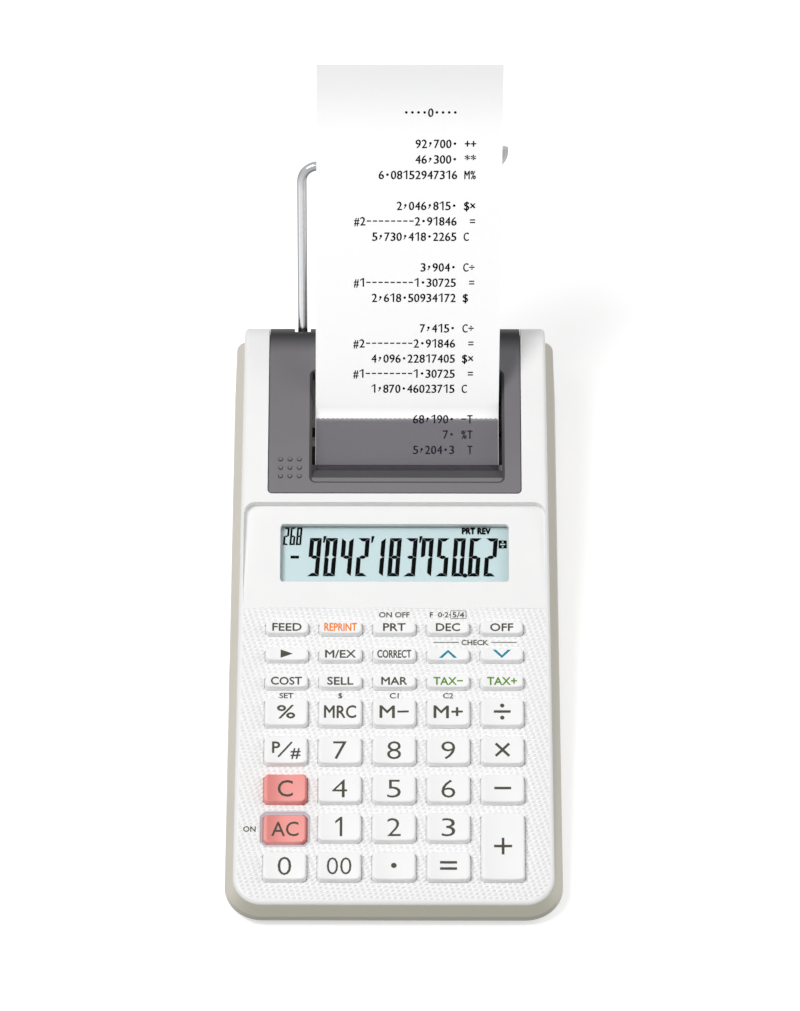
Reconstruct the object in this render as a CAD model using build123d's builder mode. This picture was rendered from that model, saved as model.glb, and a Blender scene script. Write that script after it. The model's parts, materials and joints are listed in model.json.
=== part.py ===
from build123d import *
import os
from math import asin, atan2, cos, degrees, hypot, pi, radians, sin, sqrt, tan

# Portable printing calculator: wedge case, key deck, display, drum printer and paper arm.
# Millimetres and degrees. +Z is up, +X is the user's right and +Y points away from the user.
# The origin is on the table, under the middle of the whole object's box.

# Case shells
foot_height = 1.2
floor_thickness = 1.6
side_wall = 1.8
deck_wall = 1.6
hood_wall = 2.0
draft = 2.7
bevel_width = 2.3
bevel_drop = 2.6
bottom_chamfer = 2.0
front_corner = 11.5
rear_corner = 4.5
rim_round = 1.4
rear_round = 6.0
rear_inset = 0.2
profile_round = 40.0
deck_front_z = 9.0
front_lip = 1.4
lip_wall = 1.6
rear_lip = 10.5
hood_step = 2.6
hood_angle = 8.6
side_margin = 11.7
rail_reveal = 0.8
panel_corner = 3.5

# Keys
column_count = 5
large_row_count = 5
small_row_count = 3
key_width = 13.0
large_key_depth = 9.2
small_key_depth = 4.4
key_clip = 0.9
key_edge = 0.5
key_draft = 2.0
key_height = 2.3
low_key_height = 0.7
key_travel = 1.2
key_gap = 0.25
key_flange = 0.8
flange_thickness = 0.8
column_pitch = 16.4
row_pitch = 12.6
small_row_pitch = 9.0
front_margin = 6.8
moat_width = 1.3
moat_depth = 0.7
moat_slope = 45.0

# Display
display_gap = 14.0
display_width = 70.3
display_depth = 19.5
display_to_hood = 6.3
lens_thickness = 1.0
lens_overlap = 2.0
lcd_border = 2.6
glue_gap = 0.1
display_corner = 1.0

# Keypad stack under the deck
mat_thickness = 0.8
dome_radius = 1.6
dome_height = 0.4
dome_sides = 8
chip_size = 16.0
press_gap = 0.2
board_thickness = 1.0
boss_radius = 2.4
screw_radius = 1.1
screw_head_radius = 2.0
screw_head_height = 1.2
screw_length = 6.0
screw_sides = 12
screw_bite = 2.6
thread_gap = 0.05
screw_gap = 0.3
post_wall = 1.0
post_drop = 0.8

# Power
cell_radius = 7.15
cell_length = 50.0
cell_gap = 1.1
cell_count = 4
contact_thickness = 0.4
contact_room = 1.6
bay_wall = 1.4
door_wing = 1.5
ridge_pitch = 2.0
ridge_count = 5
ridge_length = 18.0
ridge_width = 1.0
ridge_depth = 0.4
contact_gap = 1.2
contact_height = 10.0
nub_radius = 2.75
nub_length = 1.0
slide_gap = 0.2
jack_width = 9.0
jack_length = 11.0
jack_bore_radius = 2.8
jack_bore_length = 9.0
plug_hole_radius = 4.5
jack_s = 80.0

# Printer
paper_width = 57.0
paper_thickness = 0.2
paper_shift = 3.8
paper_gap = 0.8
paper_side_gap = 1.0
paper_lean = 58.0
paper_bend = 5.0
paper_rise = 112.0
cover_wall = 2.0
cover_gap = 0.25
cover_margin = 4.1
ledge_width = 2.5
ledge_thickness = 1.6
cover_setback = 2.85
recess_setback = 4.25
recess_slope_run = 5.0
recess_depth = 3.0
recess_wall = 1.6
window_thickness = 1.2
window_depth = 18.2
window_ledge = 2.5
window_shelf = 1.0
exit_depth = 14.6
rear_land = 18.6
inlet_height = 2.4
rear_wall_height = 2.5
mouth_chamfer = 0.8
mouth_corner = 2.0
mouth_slope = 45.0
cover_corner = 1.2
tooth_count = 38
tooth_depth = 0.25
grip_rows = 3
grip_pitch = 2.9
grip_radius = 0.8
grip_height = 0.4
grip_slope = 30.0
grip_inset = 6.6
grip_setback = 8.6
drum_radius = 4.0
platen_setback = 8.9
window_clearance = 1.73
platen_radius = 4.4
ink_radius = 2.6
drum_faces = 16
roller_gap = 0.3
axle_radius = 1.5
running_gap = 0.05
roof_gap = 1.5
gear_module = 0.5
gear_addendum = 0.8
gear_dedendum = 1.1
tip_share = 0.11
root_share = 0.29
drum_teeth = 20
platen_teeth = 20
pinion_teeth = 10
gear_width = 3.4
cheek = 1.5
cheek_gap = 0.4
motor_radius = 4.4
motor_length = 10.0
motor_shaft_radius = 0.75
motor_flat = 7.4
shaft_depth = 3.0
frame_tail = 10.0
cross_wall = 3.0

# Paper arm and feet
wire_radius = 1.5
arm_lean = 60.0
arm_rise = 54.0
arm_bend = 5.0
arm_span = 62.4
arm_tip = 6.2
arm_inset = 3.2
arm_side_gap = 4.2
arm_clearance = 1.0
socket_wall = 1.8
socket_depth = 9.0
foot_radius = 5.0
foot_seat = 0.6
foot_inset = 12.0
rear_foot_inset = 26.0

# Levels that follow from the stack at the rear: foot, floor, cells, roof, drum, cutter, hood
case_bottom = foot_height
floor_top = case_bottom + floor_thickness
cell_z = floor_top + slide_gap * 2 + cell_radius
roof_z = cell_z + cell_radius + slide_gap * 2
roof_top = roof_z + bay_wall
drum_z = roof_top + drum_radius + roof_gap
hood_rise = tan(radians(hood_angle))
draft_slope = tan(radians(draft))
window_h = cover_setback + recess_setback + recess_slope_run
platen_h = window_h + platen_setback
window_drop = recess_depth + window_thickness
paper_top = drum_z + platen_radius + roller_gap + paper_thickness + window_clearance
hood_front_z = paper_top + window_drop / cos(radians(hood_angle)) - platen_h * sin(radians(hood_angle))

# Plan lengths, from the front edge of the case to its back
small_rows_run = (small_row_count - 1) * small_row_pitch + small_key_depth
key_rows_end = front_margin + large_row_count * row_pitch + small_rows_run
display_start = key_rows_end + display_gap
panel_start = key_rows_end + display_gap / 2
deck_run = display_start + display_depth + display_to_hood
deck_angle = degrees(asin((hood_front_z - hood_step - deck_front_z) / deck_run))
tear_h = window_h + window_depth
hood_run = tear_h + exit_depth + rear_land
hood_rear_z = hood_front_z + hood_run * sin(radians(hood_angle))
deck_front_inset = bevel_width + (deck_front_z - case_bottom) * draft_slope
hood_rear_inset = rear_inset + (hood_rear_z - case_bottom) * draft_slope
deck_length = deck_run * cos(radians(deck_angle))
hood_length = hood_run * cos(radians(hood_angle))
case_depth = deck_front_inset + deck_length + hood_length + hood_rear_inset

# Widths: the case takes the wider of the key block and the printer cover with its rails
key_block = (column_count - 1) * column_pitch + key_width
recess_width = paper_width + 2 * paper_side_gap
cover_width = recess_width + 2 * (recess_wall + paper_shift + cover_margin)
rail_width = 2 * boss_radius + side_wall + bevel_width
case_width = max(key_block + 2 * side_margin, cover_width + 2 * rail_width)
cover_half = cover_width / 2
boss_x = key_block / 2 + key_flange + key_gap + boss_radius + screw_gap

# Paper line behind the cutter, from the platen to the top of the strip
wrap_radius = platen_radius + roller_gap
tear_z = hood_front_z + tear_h * sin(radians(hood_angle)) - window_drop * cos(radians(hood_angle))
tear_dy = (tear_h - platen_h) * cos(radians(hood_angle)) + window_drop * sin(radians(hood_angle)) + paper_gap
tear_dz = tear_z - drum_z
tear_reach = hypot(tear_dy, tear_dz)
exit_angle = degrees(atan2(tear_dz, tear_dy) - asin(wrap_radius / tear_reach))
bend_dy = paper_bend * (sin(radians(paper_lean)) - sin(radians(exit_angle)))
paper_reach = tear_dy + bend_dy + paper_rise * cos(radians(paper_lean))

# The box of the whole object sets the origin
arm_reach = (arm_rise + arm_tip) * cos(radians(arm_lean)) + wire_radius * sin(radians(arm_lean)) - arm_inset
platen_from_front = deck_front_inset + deck_length + platen_h * cos(radians(hood_angle))
whole_depth = max(case_depth + arm_reach, platen_from_front + paper_reach)
case_front = -whole_depth / 2
case_middle = case_front + case_depth / 2
case_rear = case_front + case_depth
deck_front_y = case_front + deck_front_inset
hood_front_y = deck_front_y + deck_length
hood_rear_y = hood_front_y + hood_length
platen_y = case_front + platen_from_front
drum_y = platen_y - (drum_teeth + platen_teeth) * gear_module / 2
parting_front_z = deck_front_z - front_lip
parting_rear_z = hood_rear_z - rear_lip

# Planes: the key deck and the printer hood both lean back, local y runs up the slope
deck_normal = (0, -sin(radians(deck_angle)), cos(radians(deck_angle)))
hood_normal = (0, -sin(radians(hood_angle)), cos(radians(hood_angle)))
deck = Plane(origin=(0, deck_front_y, deck_front_z), x_dir=(1, 0, 0), z_dir=deck_normal)
hood = Plane(origin=(0, hood_front_y, hood_front_z), x_dir=(1, 0, 0), z_dir=hood_normal)
hood_section = Plane(origin=hood.origin, x_dir=hood.y_dir, z_dir=(1, 0, 0))
mat_level = -(deck_wall + flange_thickness + key_travel + press_gap + dome_height)
board_level = mat_level - mat_thickness


def deck_z(y):
    """Height of the key deck at a place along the case."""
    return deck_front_z + (y - deck_front_y) * tan(radians(deck_angle))


def hood_z(y):
    """Height of the printer hood at a place along the case."""
    return hood_front_z + (y - hood_front_y) * hood_rise


def parting_z(y):
    """Height of the line between the two case shells."""
    return parting_front_z + (y - case_front) * (parting_rear_z - parting_front_z) / case_depth


def case_plan(inset, level, back_inset, rear_radius=0):
    """Plan outline of the case, drawn in from its belt line at the sides and the back, on a level plane."""
    drafted = (level - case_bottom) * draft_slope
    drawn_in = inset + drafted
    with BuildSketch(Plane.XY.offset(level)) as plan:
        with Locations((0, case_middle + (inset - back_inset) / 2)):
            Rectangle(case_width - 2 * drawn_in, case_depth - drawn_in - back_inset - drafted)
        fillet(plan.vertices().group_by(Axis.Y)[0], front_corner - inset)
        if rear_radius:
            fillet(plan.vertices().group_by(Axis.Y)[-1], rear_radius)
    return plan.sketch


def outer_profile():
    """Side profile of the upper case: deck, ramp beside the display, hood and rounded back."""
    ramp_start = deck_front_y + panel_start * cos(radians(deck_angle))
    ramp = (ramp_start, deck_z(ramp_start), 0)
    crest = (hood_front_y, hood_z(hood_front_y), 0)
    with BuildSketch(Plane.YZ) as profile:
        with BuildLine():
            Polyline(
                (case_front, parting_z(case_front)),
                (case_front, deck_z(case_front)),
                ramp[:2],
                crest[:2],
                (hood_rear_y, hood_z(hood_rear_y)),
                (hood_rear_y, parting_z(hood_rear_y)),
                close=True,
            )
        make_face()
        fillet(profile.vertices().sort_by(Axis.Y)[-1], rear_round)
        fillet(profile.vertices().sort_by_distance(ramp)[0], profile_round)
        fillet(profile.vertices().sort_by_distance(crest)[0], profile_round)
    return profile.sketch


def inner_profile(deck_drop, hood_drop, back):
    """Side profile of a hollow under the deck and the hood, down to the table."""
    with BuildSketch(Plane.YZ) as profile:
        with BuildLine():
            Polyline(
                (case_front, 0),
                (case_front, deck_z(case_front) - deck_drop),
                (hood_front_y, deck_z(hood_front_y) - deck_drop),
                (hood_front_y + hood_drop, hood_z(hood_front_y + hood_drop) - hood_drop),
                (back, hood_z(back) - hood_drop),
                (back, 0),
                close=True,
            )
        make_face()
        fillet(profile.vertices().sort_by(Axis.Y)[-1], rear_round - hood_drop)
    return profile.sketch


def gear_outline(teeth, turn):
    """Spur gear outline with straight flanks and room for backlash."""
    pitch_radius = teeth * gear_module / 2
    tip_radius = pitch_radius + gear_addendum * gear_module
    root_radius = pitch_radius - gear_dedendum * gear_module
    step = 2 * pi / teeth
    points = []
    for tooth in range(teeth):
        middle = tooth * step + radians(turn)
        for radius, side in ((root_radius, -1), (tip_radius, -1), (tip_radius, 1), (root_radius, 1)):
            share = root_share if radius == root_radius else tip_share
            angle = middle + side * share * step
            points.append((radius * cos(angle), radius * sin(angle)))
    return Polygon(*points, align=None)


def clipped(width, depth, clip):
    """Rectangle with clipped corners, for the outline that repeats at every key."""
    x = width / 2
    y = depth / 2
    right = [(x - clip, -y), (x, clip - y), (x, y - clip), (x - clip, y)]
    return Polygon(*right, *[(-px, -py) for px, py in right], align=None)


# Key places: name, column, front edge along the deck, depth and height above the deck
row_names = [
    ["key_0", "key_00", "key_point", "key_equals"],
    ["key_all_clear", "key_1", "key_2", "key_3"],
    ["key_clear", "key_4", "key_5", "key_6", "key_minus"],
    ["key_print_code", "key_7", "key_8", "key_9", "key_multiply"],
    ["key_percent", "key_memory_recall", "key_memory_minus", "key_memory_plus", "key_divide"],
    ["key_cost", "key_sell", "key_margin", "key_tax_minus", "key_tax_plus"],
    ["key_replay", "key_exchange", "key_correct", "key_up", "key_down"],
    ["key_feed", "key_copy", "key_print", "key_decimal", "key_off"],
]
first_column = -(column_count - 1) / 2 * column_pitch
keys = []
for row, names in enumerate(row_names):
    large_rows = min(row, large_row_count)
    front = front_margin + large_rows * row_pitch + (row - large_rows) * small_row_pitch
    depth = large_key_depth if row < large_row_count else small_key_depth
    for column, name in enumerate(names):
        height = low_key_height if name == "key_all_clear" else key_height
        keys.append((name, first_column + column * column_pitch, front + depth / 2, depth, height))
plus_depth = row_pitch + large_key_depth
keys.append(("key_plus", -first_column, front_margin + plus_depth / 2, plus_depth, key_height))

# Fastening places: four on the deck beside the keys and two under the rear rails
deck_boss_s = [front_margin + large_key_depth, display_start + display_depth / 2]
deck_bosses = [(side * boss_x, s) for s in deck_boss_s for side in (-1, 1)]
rear_boss_x = cover_half + cover_gap + boss_radius
rear_boss_y = hood_rear_y - side_wall - 2 * boss_radius

display_middle = display_start + display_depth / 2
rear_bosses = [(side * rear_boss_x, rear_boss_y) for side in (-1, 1)]
rear_post_top = parting_z(rear_boss_y) - post_drop
screw_places = []
for x, s in deck_bosses:
    place = deck.from_local_coords((x, s, board_level - board_thickness))
    screw_places.append((x, place.Y, place.Z))
for x, y in rear_bosses:
    screw_places.append((x, y, rear_post_top - board_thickness))

# Case openings: display panel, printer bay, rear wall under the cover
clip_growth = 2 - sqrt(2)
crest_half = case_width / 2 - bevel_width - (hood_front_z - case_bottom) * draft_slope
panel_half = crest_half - rail_reveal
ledge_front = cover_setback - cover_gap - hood_wall / 2
ledge_rear = hood_run - 2 * rear_round
rear_wall_top = parting_z(hood_rear_y) + rear_wall_height
recess_h = cover_setback + recess_setback
exit_h = tear_h + exit_depth
shelf_bottom = -window_drop - window_shelf
cutter_width = paper_width - 2 * slide_gap
cutter_left = paper_shift - cutter_width / 2
tooth_pitch = cutter_width / tooth_count
grip_x = -(cover_half - grip_inset)
grip_h = cover_setback + grip_setback

# Cell bay and its sliding door, measured from the back
cell_pitch = 2 * cell_radius + cell_gap
cell_x = [(index - (cell_count - 1) / 2) * cell_pitch for index in range(cell_count)]
bay_half = cell_count * cell_pitch / 2
bay_rear = case_rear - bevel_width - lip_wall - 2 * bay_wall
bay_front = bay_rear - cell_length - 2 * contact_room
cell_middle = (bay_front + bay_rear) / 2
lip_top = case_bottom + floor_thickness / 2
door_front = bay_front + slide_gap
door_rear = case_rear - bottom_chamfer + floor_thickness
tuck_plane = Plane(origin=(0, case_rear - bottom_chamfer, case_bottom), z_dir=(0, 1, -1))
single = cell_pitch - 2 * contact_gap
double = 2 * cell_pitch - 2 * contact_gap
contact_plates = [
    (bay_front, 1, (-cell_pitch, cell_pitch), (double, double)),
    (bay_rear, -1, (cell_x[0], 0, cell_x[-1]), (single, double, single)),
]

# Keypad stack
deck_axis = Axis(deck.origin, deck.z_dir)
mat_front = front_margin - key_flange - key_gap
mat_rear = key_rows_end + key_flange + key_gap
board_rear = display_start + display_depth + lcd_border + board_thickness
jack_y = deck.from_local_coords((0, jack_s, 0)).Y
jack_z = parting_z(jack_y) - bevel_drop - plug_hole_radius - slide_gap
jack_top = deck_z(jack_y)
jack_x = slide_gap - (case_width / 2 - bevel_width - lip_wall - (jack_top - case_bottom) * draft_slope)
jack_rise = jack_top - jack_z + jack_width / 2
post_radius = screw_head_radius + screw_gap + post_wall
foot_x = case_width / 2 - foot_inset
foot_rows = (case_front + foot_inset, case_rear - rear_foot_inset)
foot_places = [(side * foot_x, y) for y in foot_rows for side in (-1, 1)]

# Printer train, seen from the right: ink roller, drum and platen, with the motor pinion below
ink_reach = drum_radius + ink_radius + roller_gap
ink_y = drum_y - ink_reach
pinion_reach = (drum_teeth + pinion_teeth) * gear_module / 2
pinion_angle = 180 + 360 / drum_teeth
pinion_y = drum_y + pinion_reach * cos(radians(pinion_angle))
pinion_z = drum_z + pinion_reach * sin(radians(pinion_angle))
roller_length = paper_width + 2 * paper_side_gap
roller_left = paper_shift - roller_length / 2
left_plate = roller_left - paper_side_gap
right_plate = roller_left + roller_length + paper_side_gap
gear_left = left_plate - cheek - cheek_gap - gear_width
motor_plate = gear_left - cheek_gap
axle_left = motor_plate - cheek
axle_length = right_plate + cheek - axle_left
pinion_tip = pinion_teeth * gear_module / 2 + gear_addendum * gear_module
frame_front = min(ink_y - ink_radius, pinion_y - pinion_tip) - cheek_gap - cheek
frame_rear = platen_y + platen_radius + frame_tail
frame_top = drum_z + drum_radius - 3 * roller_gap

# Paper line: inlet, wrap round the platen, tear edge, bend and lean
tear_point = (platen_y + tear_dy, tear_z)
inlet_point = (hood_rear_y, rear_wall_top + 0.75 * inlet_height)
inlet_reach = hypot(inlet_point[0] - platen_y, inlet_point[1] - drum_z)
inlet_turn = atan2(inlet_point[1] - drum_z, inlet_point[0] - platen_y) + asin(wrap_radius / inlet_reach)
wrap_start = (platen_y + wrap_radius * sin(inlet_turn), drum_z - wrap_radius * cos(inlet_turn))
wrap_end = (
    platen_y - wrap_radius * sin(radians(exit_angle)),
    drum_z + wrap_radius * cos(radians(exit_angle)),
)
bend_middle = (exit_angle + paper_lean) / 2


def bend_point(angle):
    """Point on the bend above the tear edge where the paper leans at an angle."""
    return (
        tear_point[0] + paper_bend * (sin(radians(angle)) - sin(radians(exit_angle))),
        tear_point[1] + paper_bend * (cos(radians(exit_angle)) - cos(radians(angle))),
    )


paper_end = (
    bend_point(paper_lean)[0] + paper_rise * cos(radians(paper_lean)),
    bend_point(paper_lean)[1] + paper_rise * sin(radians(paper_lean)),
)

# Paper arm: leg up from its socket, bar across behind the paper, tip turned up
arm_x = paper_shift - paper_width / 2 - arm_side_gap
arm_y = case_rear - arm_inset
arm_z = hood_z(arm_y) - cover_wall
arm_along = Vector(0, cos(radians(arm_lean)), sin(radians(arm_lean)))
arm_plane = Plane(origin=(arm_x, arm_y, arm_z), x_dir=(1, 0, 0), z_dir=arm_along)
socket_top = parting_z(hood_rear_y) - post_drop
arm_drop = (arm_z - socket_top) / sin(radians(arm_lean))
arm_start = arm_plane.origin - arm_along * (arm_drop + socket_depth - slide_gap)
arm_corner = arm_plane.origin + arm_along * arm_rise
arm_far = arm_corner + Vector(arm_span, 0, 0)
arm_points = [arm_start, arm_corner, arm_far, arm_far + arm_along * arm_tip]
arm_notch = hood_rear_y - arm_y + (wire_radius + arm_clearance) / sin(radians(arm_lean))

os.makedirs("parts", exist_ok=True)

# Upper case: drafted wedge shell with a key grid, display opening, printer bay and rails
with BuildPart() as case_hollow:
    extrude(case_plan(bevel_width + side_wall, case_bottom, rear_inset + side_wall), amount=hood_rear_z, taper=draft)
    inside = inner_profile(deck_wall / cos(radians(deck_angle)), hood_wall, hood_rear_y - side_wall)
    extrude(inside, amount=case_width, both=True, mode=Mode.INTERSECT)

with BuildPart() as upper_case:
    extrude(case_plan(bevel_width, case_bottom, rear_inset), amount=hood_rear_z, taper=draft)
    extrude(outer_profile(), amount=case_width, both=True, mode=Mode.INTERSECT)
    top_faces = upper_case.faces().filter_by(lambda face: face.normal_at(face.center()).Z > 0.5)
    rim = top_faces.edges().filter_by(Axis.X, reverse=True)
    rim.append(top_faces.edges().filter_by(Axis.X).sort_by(Axis.Y)[0])
    rim += upper_case.faces().sort_by(Axis.Y)[-1].edges().filter_by(Axis.X, reverse=True)
    fillet(rim, rim_round)
    add(case_hollow.part, mode=Mode.SUBTRACT)
    # The display panel lies at deck level between low rails that fade towards the keys
    with BuildSketch(deck) as panel:
        with Locations((0, deck_run / 2)):
            Rectangle(2 * panel_half, deck_run)
        fillet(panel.vertices().group_by(Axis.Y)[-1], panel_corner)
    extrude(amount=2 * hood_step, mode=Mode.SUBTRACT)
    # The cleared-all key stands low in a sloping moat
    with BuildSketch(deck):
        for name, x, s, depth, height in keys:
            if height == low_key_height:
                with Locations((x, s)):
                    moat_depth_along = depth + 2 * moat_width
                    clipped(key_width + 2 * moat_width, moat_depth_along, key_clip + clip_growth * moat_width)
    extrude(amount=-moat_depth, taper=moat_slope, mode=Mode.SUBTRACT)
    with BuildSketch(deck):
        for name, x, s, depth, height in keys:
            with Locations((x, s)):
                clipped(key_width + 2 * key_gap, depth + 2 * key_gap, key_clip + clip_growth * key_gap)
        with Locations((0, display_middle)):
            RectangleRounded(display_width, display_depth, display_corner)
    extrude(amount=-2 * deck_wall, mode=Mode.SUBTRACT)
    with BuildSketch(deck.offset(-deck_wall / 2)):
        with Locations(*deck_bosses):
            RegularPolygon(boss_radius, screw_sides)
    extrude(amount=board_level + deck_wall / 2)
    with BuildSketch(Plane.XY.offset(rear_post_top)):
        with Locations(*rear_bosses):
            RegularPolygon(boss_radius, screw_sides)
    extrude(amount=hood_z(rear_boss_y) - hood_wall / 2 - rear_post_top)
    for x, y, post_top in screw_places:
        with BuildSketch(Plane.XY.offset(post_top - screw_length)):
            with Locations((x, y)):
                RegularPolygon(screw_radius + thread_gap, screw_sides)
        extrude(amount=screw_length + screw_bite, mode=Mode.SUBTRACT)
    # The printer cover rests on a ledge round the bay, which is open at the back
    with BuildSketch(hood.offset(-hood_wall / 2)):
        with Locations((0, (ledge_front + ledge_rear) / 2)):
            Rectangle(2 * (cover_half + cover_gap + hood_wall), ledge_rear - ledge_front)
    extrude(amount=hood_wall / 2 - cover_wall - ledge_thickness)
    with BuildSketch(hood) as seat:
        with Locations((0, cover_setback - cover_gap + hood_run / 2)):
            Rectangle(2 * (cover_half + cover_gap), hood_run)
        fillet(seat.vertices().group_by(Axis.Y)[0], cover_corner + cover_gap)
    extrude(amount=-cover_wall, mode=Mode.SUBTRACT)
    with BuildSketch(hood):
        with Locations((0, cover_setback + ledge_width + hood_run / 2)):
            Rectangle(2 * (cover_half - ledge_width), hood_run)
    extrude(amount=-2 * (cover_wall + ledge_thickness), mode=Mode.SUBTRACT)
    with BuildSketch(Plane.XY.offset(rear_wall_top)):
        with Locations((0, hood_rear_y)):
            Rectangle(2 * (cover_half + cover_gap), 3 * rear_round)
    extrude(amount=hood_rear_z, mode=Mode.SUBTRACT)
upper_case.part.label = "upper_case"
export_step(upper_case.part, "parts/upper_case.step")

# Lower case: tub with a bevelled belt, cell bay, screw posts, arm socket and plug hole
with BuildPart() as tub_hollow:
    extrude(case_plan(side_wall, floor_top, side_wall, rear_corner - side_wall), amount=parting_rear_z, taper=draft)
    with BuildSketch(Plane.YZ):
        with BuildLine():
            Polyline(
                (case_front, floor_top),
                (case_rear, floor_top),
                (case_rear, parting_z(case_rear) - bevel_drop - side_wall),
                (case_front, parting_z(case_front) - bevel_drop - side_wall),
                close=True,
            )
        make_face()
    extrude(amount=case_width, both=True, mode=Mode.INTERSECT)
    extrude(case_plan(bevel_width + lip_wall, floor_top, bevel_width + lip_wall), amount=parting_rear_z, taper=draft)

with BuildPart() as screw_posts:
    with BuildSketch(Plane.XY.offset(floor_top - floor_thickness / 2)):
        with Locations(*[(x, y) for x, y, top in screw_places[:len(deck_bosses)]]):
            RegularPolygon(post_radius, screw_sides)
    extrude(amount=hood_front_z)
    split(bisect_by=deck.offset(board_level - board_thickness), keep=Keep.BOTTOM)
    with BuildSketch(Plane.XY.offset(floor_top - floor_thickness / 2)):
        with Locations(*rear_bosses):
            RegularPolygon(post_radius, screw_sides)
    extrude(amount=rear_post_top - floor_top + floor_thickness / 2)

with BuildPart() as arm_socket:
    with BuildSketch(arm_plane):
        Circle(wire_radius + running_gap + socket_wall)
    extrude(amount=-arm_rise)
    split(bisect_by=Plane.XY.offset(socket_top), keep=Keep.BOTTOM)
    split(bisect_by=Plane.XY.offset(roof_top - bay_wall / 2), keep=Keep.TOP)

with BuildPart() as lower_case:
    extrude(case_plan(0, case_bottom, 0, rear_corner), amount=parting_rear_z, taper=draft)
    with BuildSketch(Plane.YZ):
        with BuildLine():
            Polyline(
                (case_front, 0),
                (case_rear, 0),
                (case_rear, parting_z(case_rear)),
                (case_front, parting_z(case_front)),
                close=True,
            )
        make_face()
    extrude(amount=case_width, both=True, mode=Mode.INTERSECT)
    belt = lower_case.faces().sort_by(Axis.Z)[-1]
    chamfer(belt.edges(), length=bevel_width, length2=bevel_drop, reference=belt)
    chamfer(lower_case.faces().sort_by(Axis.Z)[0].edges(), bottom_chamfer)
    add(tub_hollow.part, mode=Mode.SUBTRACT)
    add(screw_posts.part)
    with BuildSketch(Plane.XY.offset(floor_top)):
        with Locations((0, (bay_front + bay_rear) / 2)):
            Rectangle(2 * (bay_half + bay_wall), bay_rear - bay_front + 2 * bay_wall)
    extrude(amount=roof_top - floor_top)
    with BuildSketch(Plane.XY.offset(lip_top)):
        with Locations((0, (bay_front + bay_rear) / 2)):
            Rectangle(2 * bay_half, bay_rear - bay_front)
    extrude(amount=roof_z - lip_top, mode=Mode.SUBTRACT)
    # The door slides in from the back: a wide slot above two narrow lips
    with BuildSketch(Plane.XY.offset(lip_top)):
        with Locations((0, (bay_front + case_rear) / 2)):
            Rectangle(2 * bay_half, case_rear - bay_front)
    extrude(amount=floor_top - lip_top, mode=Mode.SUBTRACT)
    with BuildSketch(Plane.XY):
        with Locations((0, (bay_front + case_rear) / 2)):
            Rectangle(2 * (bay_half - door_wing), case_rear - bay_front)
    extrude(amount=lip_top, mode=Mode.SUBTRACT)
    add(arm_socket.part)
    with BuildSketch(arm_plane):
        Circle(wire_radius + running_gap)
    extrude(amount=-(arm_drop + socket_depth), mode=Mode.SUBTRACT)
    for x, y, post_top in screw_places:
        with BuildSketch(Plane.XY.offset(post_top + screw_bite - screw_length)):
            with Locations((x, y)):
                RegularPolygon(screw_head_radius + screw_gap, screw_sides)
        extrude(amount=-screw_length - post_top, mode=Mode.SUBTRACT)
        with BuildSketch(Plane.XY.offset(post_top + screw_bite)):
            with Locations((x, y)):
                RegularPolygon(screw_radius + screw_gap, screw_sides)
        extrude(amount=-screw_length, mode=Mode.SUBTRACT)
    with BuildSketch(Plane.XY.offset(case_bottom)):
        with Locations(*foot_places):
            Circle(foot_radius + thread_gap)
    extrude(amount=foot_seat, mode=Mode.SUBTRACT)
    with BuildSketch(Plane.YZ.offset(-case_width)):
        with Locations((jack_y, jack_z)):
            Circle(plug_hole_radius)
    extrude(amount=case_width / 2 + 2 * side_wall, mode=Mode.SUBTRACT)
lower_case.part.label = "lower_case"
export_step(lower_case.part, "parts/lower_case.step")

# Battery door: winged plate that slides out under the back edge, with thumb ridges
with BuildPart() as battery_cover:
    with BuildSketch(Plane.XY.offset(case_bottom)):
        with Locations((0, (door_front + door_rear) / 2)):
            Rectangle(2 * (bay_half - door_wing - slide_gap), door_rear - door_front)
    extrude(amount=floor_thickness - slide_gap)
    with BuildSketch(Plane.XY.offset(lip_top + slide_gap)):
        with Locations((0, (door_front + door_rear) / 2)):
            Rectangle(2 * (bay_half - slide_gap), door_rear - door_front)
    extrude(amount=floor_top - lip_top - 2 * slide_gap)
    split(bisect_by=tuck_plane, keep=Keep.BOTTOM)
    with BuildSketch(Plane.XY.offset(case_bottom)):
        with Locations((0, door_front + ridge_pitch * ridge_count)):
            with GridLocations(0, ridge_pitch, 1, ridge_count):
                Rectangle(ridge_length, ridge_width)
    extrude(amount=ridge_depth, mode=Mode.SUBTRACT)
battery_cover.part.label = "battery_cover"
export_step(battery_cover.part, "parts/battery_cover.step")

# Printer cover: flush panel between the rails, rolled over the back, with a recessed exit
with BuildPart() as cover_hollow:
    with BuildSketch(Plane.XY):
        with Locations((0, case_middle)):
            Rectangle(case_width, case_depth)
    extrude(amount=hood_rear_z)
    inside = inner_profile(cover_wall, cover_wall / cos(radians(hood_angle)), hood_rear_y - cover_wall)
    extrude(inside, amount=case_width, both=True, mode=Mode.INTERSECT)

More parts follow.
